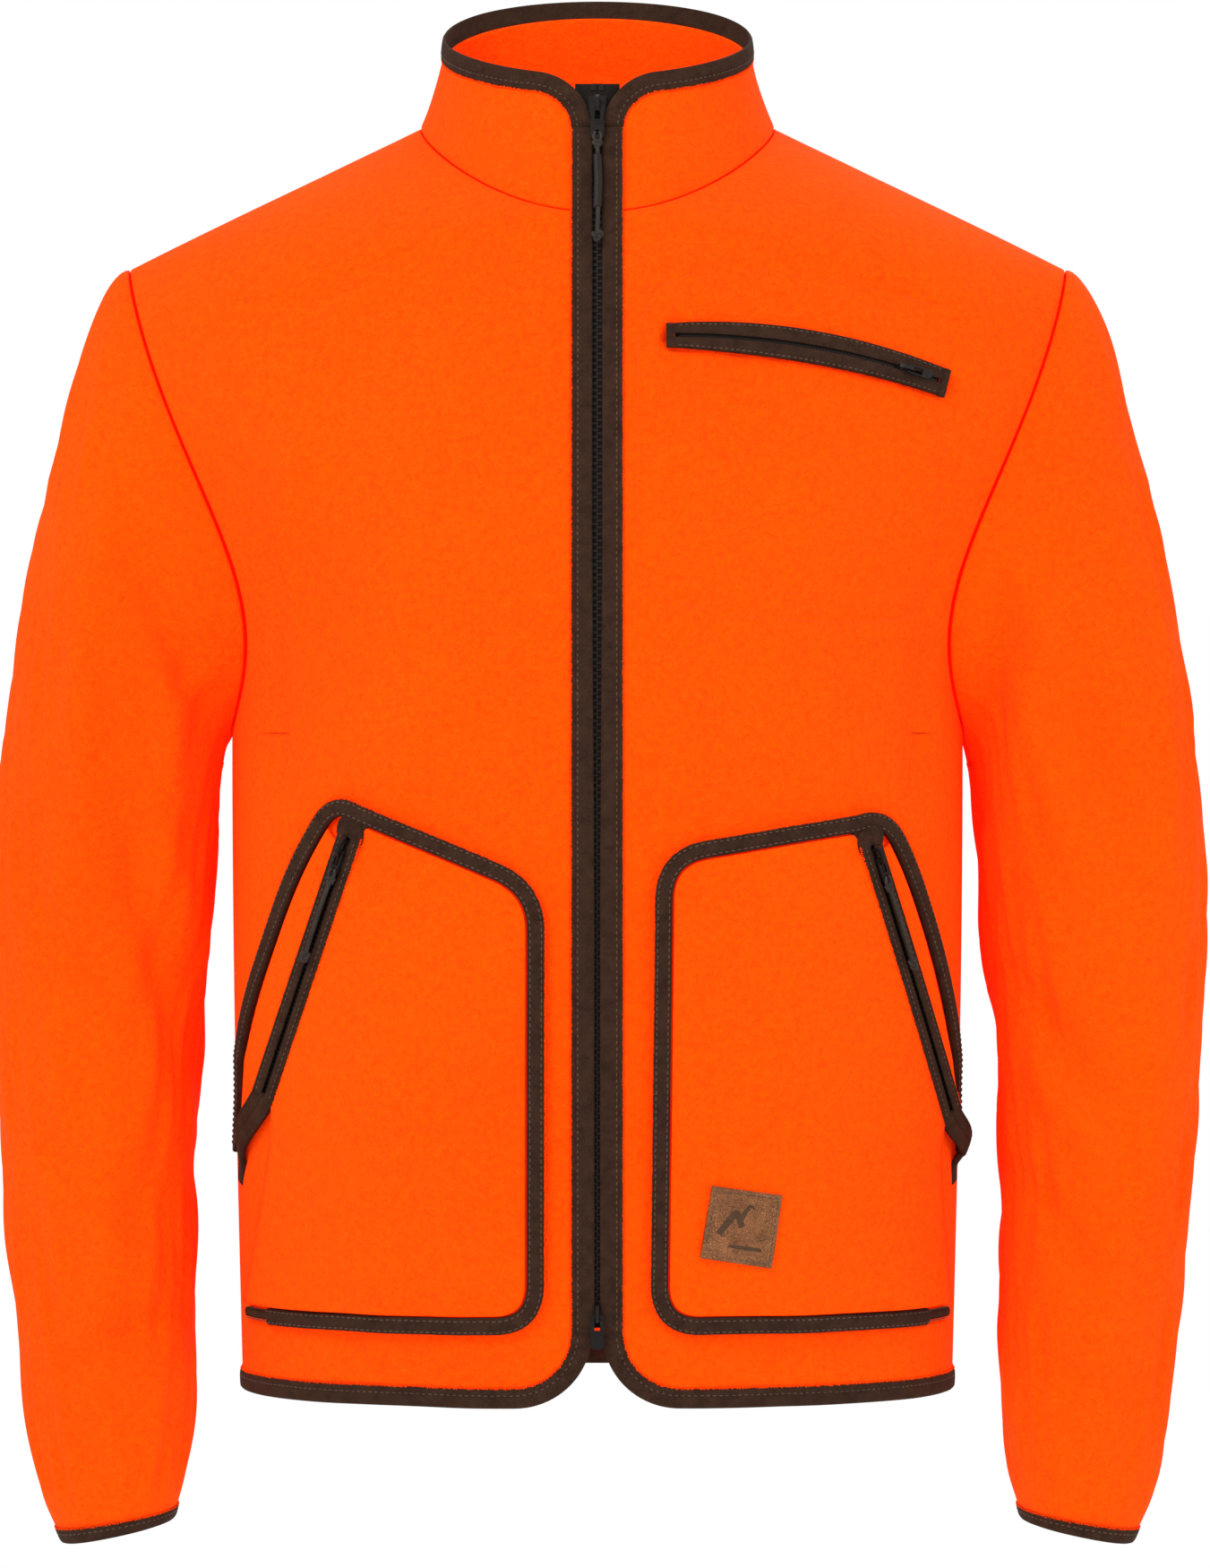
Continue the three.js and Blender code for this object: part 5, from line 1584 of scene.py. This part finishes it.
zip_sizes = {"top": 1, "bottom": 1, "pocket_left": 0.75, "pocket_right": 0.75, "chest": 0.55}
for name, size in zip_sizes.items():
    soften_casting(f"{name}_slider", 0.28 * MM * size)
    soften_casting(f"{name}_pull_tab", 0.3 * MM)
for side in ("left", "right"):
    soften_casting(f"zip_top_stop_{side}", 0.3 * MM)


def slider_frame(track, distance, face, lift=0.0, flip=False):
    """Where a slider's pull hangs: its crossbar, and directions across, along and out."""
    places, along, aside, out = (v[0] for v in track.at(np.array([distance])))
    bar = places + out * (face + 2.6 * MM) - along * 1.4 * MM
    turned_along = along * math.cos(lift) - out * math.sin(lift)
    turned_out = out * math.cos(lift) + along * math.sin(lift)
    if flip:
        bar, aside, turned_along, turned_out = (mirror(v) for v in (bar, aside, turned_along, turned_out))
    return bar, aside, turned_along, turned_out


bottom_distance = zip_end_above_hem + 9 * MM
bottom_along = front_track.at(np.array([bottom_distance]))[1][0]
bottom_lift = math.atan2(-bottom_along[1], bottom_along[2])
hangers = {
    "top": (slider_frame(front_track, zip_to - 9 * MM, binding_rise), 7, 18, "top_pull"),
    "bottom": (slider_frame(front_track, bottom_distance, binding_rise, bottom_lift), 7, 17, "bottom_pull"),
    "chest": (slider_frame(chest_track, 22 * MM, 0.0), 4.4, 13, "chest_pull"),
}
for side, other in (("left", False), ("right", True)):
    track = pocket_tracks[side]
    hangers[f"pocket_{side}"] = (slider_frame(track, track.length - 8 * MM, 0.0, flip=other), 5.4, 13,
                                 f"pocket_pull_{side}")


def tab_ribs(name):
    """Three low ribs across a tab, between its window and its eye."""
    (bar, aside, along, out), width, length, body = hangers[name]
    parts = []
    for k in range(3):
        down = (8.3 + 0.95 * k) * MM
        t = np.linspace(-1, 1, 7)
        places = bar - along * down + np.outer(t * (width / 2 - 0.7) * MM, aside) + out * 0.55 * MM
        line = (places, np.repeat(along[None], 7, 0), np.repeat(out[None], 7, 0))
        bump = np.array([(-0.26, -0.1), (0.26, -0.1), (0.2, 0.12), (0.08, 0.22), (-0.08, 0.22),
                         (-0.2, 0.12)])
        points, faces, _ = trim_mesh(line, bump * MM)
        parts.append((points, faces))
    heap(f"tab_ribs_{name}", parts, painted, "zip_slider", body=body)


for name in zip_sizes:
    tab_ribs(name)
print("painted castings", 2 * len(zip_sizes) + 2)

# %% [markdown]
# ### Pull cords
# A soft braided cord is looped through the eye of the three larger tabs, tied off below it, and
# knotted at its end so that gloved fingers find it. Each runs as its solid does: a hanging cord from
# the tab, a few centimetres long.

# %% Cords and knots
cord_radius, cord_start = 1.1 * MM, 0.4 * MM


def circle(count):
    turn = np.linspace(0, 2 * np.pi, count, endpoint=False)
    return np.stack([np.cos(turn), np.sin(turn)], -1)


def knot(radius, thread, squash=1.0):
    """An overhand knot: a tube along a trefoil. x is across, y along the cord and z out."""
    turn = np.linspace(0, 2 * np.pi, 60, endpoint=False)
    line = np.stack([np.sin(turn) + 2 * np.sin(2 * turn), (np.cos(turn) - 2 * np.cos(2 * turn)) * squash,
                     -np.sin(3 * turn) * 1.1], -1) * radius / 3
    ahead = unit(np.roll(line, -1, 0) - np.roll(line, 1, 0))
    side = unit(np.cross(ahead, line + (0, 0, 1e-4)))
    up = np.cross(ahead, side)
    around = circle(10)
    tube = line[:, None] + thread * (around[:, :1] * side[:, None] + around[:, 1:] * up[:, None])
    count = len(around)
    index = np.arange(60 * count).reshape(60, count)
    nxt, turned = np.roll(index, -1, 0), np.roll(index, -1, 1)
    faces = np.stack([index, turned, np.roll(nxt, -1, 1), nxt], -1).reshape(-1, 4).tolist()
    return tube.reshape(-1, 3), faces


def placed(shape, hanger, down, across=0.0, out_by=0.0):
    """Sets a small shape below a pull's crossbar."""
    points, faces = shape
    bar, aside, along, out = hanger
    return (bar + np.outer(points[:, 0] + across, aside) + np.outer(points[:, 1] - down, along)
            + np.outer(points[:, 2] + out_by, out), faces)


def pull_cord(name, length):
    hanger, width, tab, body = hangers[name]
    bar, aside, along, out = hanger
    start = tab * MM + cord_start
    stops = np.array([(0, -start, 0), (0.6 * MM, -start - length / 2, 0.3 * MM), (0, -start - length, 0)])
    route = resample(catmull(stops).T, 60)
    path = bar + np.outer(route[:, 0], aside) + np.outer(route[:, 1], along) + np.outer(route[:, 2], out)
    ahead = unit(np.gradient(path, axis=0))
    across = unit(np.cross(ahead, out))
    turn = np.linspace(0, 2 * np.pi, 16, endpoint=False)
    run = np.linspace(0, length, 60)
    strands, lay = turn[None] * 4, run[:, None] * 2300
    twist = 1 + 0.05 * np.cos(2 * (strands + lay)) * np.cos(strands - lay)
    section = circle(16) * twist[..., None] * cord_radius
    cord = trim(f"pull_string_{name}", (path, across, np.cross(across, ahead)), section, braid, "cord",
                [f"{name}_pull_cord"], body=body)
    ends = [placed(knot(2.5 * MM, 0.95 * MM), hanger, start + length + 0.6 * MM),
            placed(knot(2.2 * MM, 0.9 * MM, 0.8), hanger, start + 2.5 * MM)]
    knots = heap(f"pull_knots_{name}", ends, braid, "cord", body=body)
    loops = []
    for sign in (-1, 1):
        turn = np.linspace(0, 1, 14)
        lane = np.stack([sign * (0.9 + 1.3 * np.sin(np.pi * turn)) * MM * (1 - turn * 0.3),
                         -(tab - 3.4) * MM - turn * 6.2 * MM, (1.15 - 0.9 * turn) * MM], -1)
        spots = bar + np.outer(lane[:, 0], aside) + np.outer(lane[:, 1], along) + np.outer(lane[:, 2], out)
        forward = unit(np.gradient(spots, axis=0))
        w = unit(np.cross(forward, out))
        points, faces, _ = trim_mesh((spots, w, np.cross(w, forward)), circle(10) * 0.75 * MM)
        loops.append((points, faces))
    loop = heap(f"pull_loop_{name}", loops, braid, "cord", body=body)
    print("cord", name, round(float(np.linalg.norm(np.diff(path, axis=0), axis=1).sum()), 4))


for name, length in (("top", 52 * MM), ("pocket_left", 44 * MM), ("pocket_right", 44 * MM)):
    pull_cord(name, length)

# %% [markdown]
# A heat-shrunk grip covers the middle of the top cord. It is a plain ribbed sleeve with no mark.

# %% The grip on the top cord


def cord_grip():
    (bar, aside, along, out), width, tab, body = hangers["top"]
    down = np.linspace(8, 38, 46) * MM + (tab + 0.4) * MM
    share = np.linspace(0, 1, 46)
    swell = 1 + 0.06 * np.sin(share * 2 * np.pi * 11)
    ends = np.minimum(1, np.minimum(share, 1 - share) * 14 + 0.62)
    section = circle(20) * (2.25, 1.75) * MM
    section = section[None] * (swell * ends)[:, None, None]
    places = bar - np.outer(down, along) + np.outer(0.5 * MM * np.sin(np.pi * share), aside)
    line = (places, np.repeat(aside[None], 46, 0), np.repeat(out[None], 46, 0))
    return trim("cord_grip", line, section, moulded, "zip_teeth", body=body)


print("grip faces", len(cord_grip().data.polygons))

# %% [markdown]
# ## Leather patch
# A small square of leather is sewn by its border near the foot of the left hand pocket, a little
# askew. Its middle carries a pressed mark, drawn here as a plain range of hills over a line.

# %% The patch
patch_middle = np.array((72.6, -588)) * MM
patch_size = np.array((35.5, 37.5)) * MM
patch_turn = 0.157
patch_lift = pocket_lift + cloth + 2.9 * MM


def on_patch(across, up, lift):
    """Places on the patch, from its middle, and the directions out of it."""
    c, s = math.cos(patch_turn), math.sin(patch_turn)
    x = patch_middle[0] + across * c + up * s
    z = patch_middle[1] - across * s + up * c
    places, out = draped(-1, x, z, patch_lift)
    return places + out * np.asarray(lift)[..., None], out


def leather_patch():
    border = [0.47, 0.485, 0.494, 0.5]
    edge = np.concatenate([[-share for share in border[::-1]], np.linspace(-0.45, 0.45, 37), border])
    across, up = np.meshgrid(edge * patch_size[0], edge * patch_size[1])
    from_edge = np.minimum(patch_size[0] / 2 - np.abs(across), patch_size[1] / 2 - np.abs(up))
    lift = 1.3 * MM - 0.7 * MM * np.exp(-from_edge / (0.5 * MM))
    lift = lift - 0.3 * MM * np.exp(-((from_edge - 2.0 * MM) / (0.45 * MM)) ** 2)
    lift = lift + 0.25 * MM * np.sin(across * 170) * np.sin(up * 140 + 1)
    places, out = on_patch(across, up, lift)
    return cloth_piece("leather_square", places, out, leather, "leather", ["leather_patch"],
                       thickness=2.6 * MM)


print("patch faces", len(leather_patch().data.polygons))


def pressed_line(points, width, count):
    """A thin pressed bar along a line on the patch."""
    line = resample(np.array(points) * MM, count)
    places, out = on_patch(line[:, 0], line[:, 1], np.full(len(line), 1.28 * MM))
    bar = np.array([(-width / 2, -0.5), (width / 2, -0.5), (width / 2, 0.02), (width / 2 - 0.15, 0.1),
                    (-width / 2 + 0.15, 0.1), (-width / 2, 0.02)]) * MM
    points, faces, _ = trim_mesh(line_frames(places, out), bar)
    return points, faces


heap("pressed_hills", [
    pressed_line([(-11, -5), (-4, 7.5), (0.2, 0.2)], 3.2, 30),
    pressed_line([(-1.6, 3.6), (2.8, 11), (11, -5)], 3.2, 36),
    pressed_line([(-11, -10.2), (11, -10.2)], 1.9, 20),
], pressed, "leather", crease=50)

# %% [markdown]
# ## Stitches
# Every binding is sewn through with a lockstitch about three millimetres long. Each stitch is a small
# thread that dips into the cloth at both ends, so the rows read as stitching from close by and as a
# fine dotted line from afar.

# %% Rows of stitches


def stitch_row(line, across, height, pitch=3.3 * MM, length=2.4 * MM, thick=0.34 * MM):
    """Small threads along a line of frames, at a distance across and a height out."""
    places, w, n = line
    spots = places + w * across + n * np.broadcast_to(height, len(places))[:, None]
    run = run_length(spots)
    parts = []
    steps = np.array([-0.5, -0.3, 0.0, 0.3, 0.5]) * length
    dips = np.array([-1.1, 0.1, 0.45, 0.1, -1.1]) * thick
    rings = np.array([0.25, 1, 1, 1, 0.25]) * thick
    ring = np.array([(1, 0), (0, 1), (-1, 0), (0, -1)])
    faces = ring_faces(5, 4) + [[3, 2, 1, 0], [16, 17, 18, 19]]
    for middle in np.arange(pitch, run[-1] - pitch / 2, pitch):
        jitter = rng.uniform(-0.09, 0.09) * MM
        at = middle + steps
        p, side, up = (read_line(at, run, values) for values in (spots, w, n))
        p = p + up * dips[:, None] + side * (jitter + steps[:, None] * 0.05)
        tube = p[:, None] + rings[:, None, None] * (ring[:, :1] * side[:, None] + ring[:, 1:] * up[:, None])
        parts.append((tube.reshape(-1, 3), faces))
    return parts


for name, line in (("hem", hem), ("collar", collar_line)):
    rows = stitch_row(line, gap + stitch_in, binding_rise + 0.1 * MM)
    heap(f"{name}_stitches", rows, thread, "binding")
for side, line in (("left", front_run), ("right", flipped(front_run))):
    rows = stitch_row(line, panel_edge - gap - stitch_in, binding_rise + 0.05 * MM)
    heap(f"front_stitches_{side}", rows, thread, "binding")
for side, sign in SIDES:
    rows = []
    for across in (-2.9 * MM, 2.9 * MM):
        rows += stitch_row(pocket_lines[side], across, 4.2 * MM)
    for one in zip_edges(side, sign):
        rows += stitch_row(one, zip_band_half - stitch_in * 0.75, 0.05 * MM)
    heap(f"patch_stitches_{side}", rows, thread, "binding")
    turn = np.linspace(0, 2 * np.pi, 160)
    places, out = sleeve_surface(sign, turn, np.full(160, 2 - 5.0 * MM / sleeve_length), 0.9 * MM)
    heap(f"cuff_stitches_{side}", stitch_row(line_frames(places, out), 0, 0), thread, "binding")
rows = []
for places, across, out in (chest_run, flipped(chest_run)):
    edge = (places + across * (welt_half - 1.3 * MM)[:, None], across, out)
    rows += stitch_row(edge, 0, 0.05 * MM, pitch=3 * MM, length=2.1 * MM)
heap("chest_stitches", rows, thread, "binding")

bag_run = resample(bag_line, step=2 * MM)
places, out = draped(-1, bag_run[:, 0], bag_run[:, 1], -1.25 * MM)
heap("bag_stitches", stitch_row(line_frames(places, out), 0, 0, pitch=3.4 * MM, thick=0.3 * MM),
     orange_thread, "fleece")

border = np.array([(-1, -1), (1, -1), (1, 1), (-1, 1), (-1, -1)]) * (patch_size / 2 - 2 * MM)
border = resample(border, step=0.8 * MM)
places, out = on_patch(border[:, 0], border[:, 1], np.full(len(border), 1.1 * MM))
heap("patch_border_stitches", stitch_row(line_frames(places, out), 0, 0, pitch=3.1 * MM, thick=0.3 * MM),
     thread, "leather")

# %% [markdown]
# ## Pile along the tapes
# Where a tape presses the fleece down, the pile stands up beside it and creeps over its edge, which
# is why a binding on fleece never has a clean outline. Short bent tufts are set at random along
# each of those lines.

# %% Tufts


def tufts(line, across, lean, height, pitch=0.62 * MM, reach=1.5 * MM):
    """Bent spikes along a line, leaning over its tape: one long list of points and faces."""
    places, w, n = line
    across = np.broadcast_to(across, len(places))
    spots = places + w * across[:, None]
    run = run_length(spots)
    at = np.arange(0, run[-1], pitch)
    at = at + rng.uniform(-0.4, 0.4, len(at)) * pitch
    p, side, up = (read_line(at, run, values) for values in (spots, w, n))
    side, up = unit(side) * lean, unit(up)
    ahead = np.cross(side, up)
    length = rng.uniform(0.5, 1.0, (len(at), 1)) * reach
    skew = rng.uniform(-0.7, 0.7, (len(at), 1))
    thick = rng.uniform(0.28, 0.5, (len(at), 1)) * MM
    foot = p - side * rng.uniform(0.2, 1.0, (len(at), 1)) * MM + up * (height - 0.5 * MM)
    middle = foot + up * (0.55 * MM + length * 0.35) + side * length * 0.45 + ahead * skew * length * 0.3
    tip = foot + up * (0.5 * MM + length * 0.3) + side * length * 1.05 + ahead * skew * length * 0.8
    cross = unit(np.cross(middle - foot, ahead + 0.01))
    ring = [ahead, -0.5 * ahead + 0.87 * cross, -0.5 * ahead - 0.87 * cross]
    corners = [foot + thick * v for v in ring] + [middle + thick * 0.8 * v for v in ring] + [tip]
    points = np.stack(corners, 1)
    shape = np.array([(0, 1, 4, 3), (1, 2, 5, 4), (2, 0, 3, 5)])
    caps = np.array([(3, 4, 6), (4, 5, 6), (5, 3, 6), (2, 1, 0)])
    base = np.arange(len(at))[:, None, None] * 7
    faces = (shape + base).reshape(-1, 4).tolist() + (caps + base).reshape(-1, 3).tolist()
    return points.reshape(-1, 3), faces


pile = {"hem": [tufts(hem, -0.9 * MM, 1, 0.4 * MM)],
        "collar": [tufts(collar_line, -0.9 * MM, 1, 0.4 * MM)], "chest": []}
for side, line in (("left", front_run), ("right", flipped(front_run))):
    pile[f"front_{side}"] = [tufts(line, panel_edge + 0.7 * MM, -1, 0.4 * MM)]
for one in (chest_run, flipped(chest_run)):
    pile["chest"].append(tufts(one, welt_half + 0.1 * MM, -1, -2.7 * MM, reach=1.3 * MM))
for side, sign in SIDES:
    lots = [tufts(pocket_lines[side], -tape_half, 1, -0.6 * MM),
            tufts(pocket_lines[side], tape_half, -1, 2.9 * MM)]
    for one in zip_edges(side, sign):
        lots.append(tufts(one, zip_band_half + 0.9 * MM, -1, -0.9 * MM, reach=1.2 * MM))
    turn = np.linspace(0, 2 * np.pi, 200)
    places, out = sleeve_surface(sign, turn, np.full(200, 2 - (cuff_binding + 0.5 * MM) / sleeve_length))
    lots.append(tufts(line_frames(places, out), 0, sign * 1.0, 0.3 * MM))
    pile[f"patch_{side}"] = lots
for name, lots in pile.items():
    heap(f"pile_{name}", lots, fleece, "fleece")
print("tufts", sum(len(points) for lots in pile.values() for points, _ in lots) // 7)

# %% [markdown]
# ## The end
# The floor is a wide pale sheet well below the hem.

# %% Floor and finish
floor_height = hem_height - 0.62
floor_points = [(x, y, floor_height) for x, y in ((-9, -7), (9, -7), (9, 3.6), (-9, 3.6))]
floor_faces = [(0, 1, 2, 3)]
floor_mesh = bpy.data.meshes.new("floor")
floor_mesh.from_pydata(floor_points, [], floor_faces)
floor_mesh.shade_smooth()
floor = bpy.data.objects.new("floor", floor_mesh)
bpy.context.collection.objects.link(floor)
floor_mesh.materials.append(finish("floor", lambda place, weave: {
    "Base Color": place.noise(3, 2.0).between((0.93, 0.93, 0.93, 1), (0.95, 0.95, 0.95, 1))}, Roughness=0.9))

sewn_on = {"front_left": "chest_tape_upper", "collar_cloth": "collar_tape"}
for side, _ in SIDES:
    sewn_on[f"sleeve_cloth_{side}"] = f"cuff_tape_{side}"
    sewn_on[f"pocket_cloth_panel_{side}"] = f"patch_tape_{side}"
shell = ["front_left", "front_right", "back", "sleeve_cloth_left", "sleeve_cloth_right", "collar_cloth"]
inner_cloths = ["chest_bag", "pocket_cloth_panel_left", "pocket_cloth_panel_right",
                "pocket_cloth_side_panel_left", "pocket_cloth_side_panel_right"]
for name in shell + inner_cloths:
    front = "front_right" if name.endswith("_right") else "front_left"
    [front] if name in inner_cloths else []
    [bpy.data.objects[sewn_on[name]]] if name in sewn_on else []
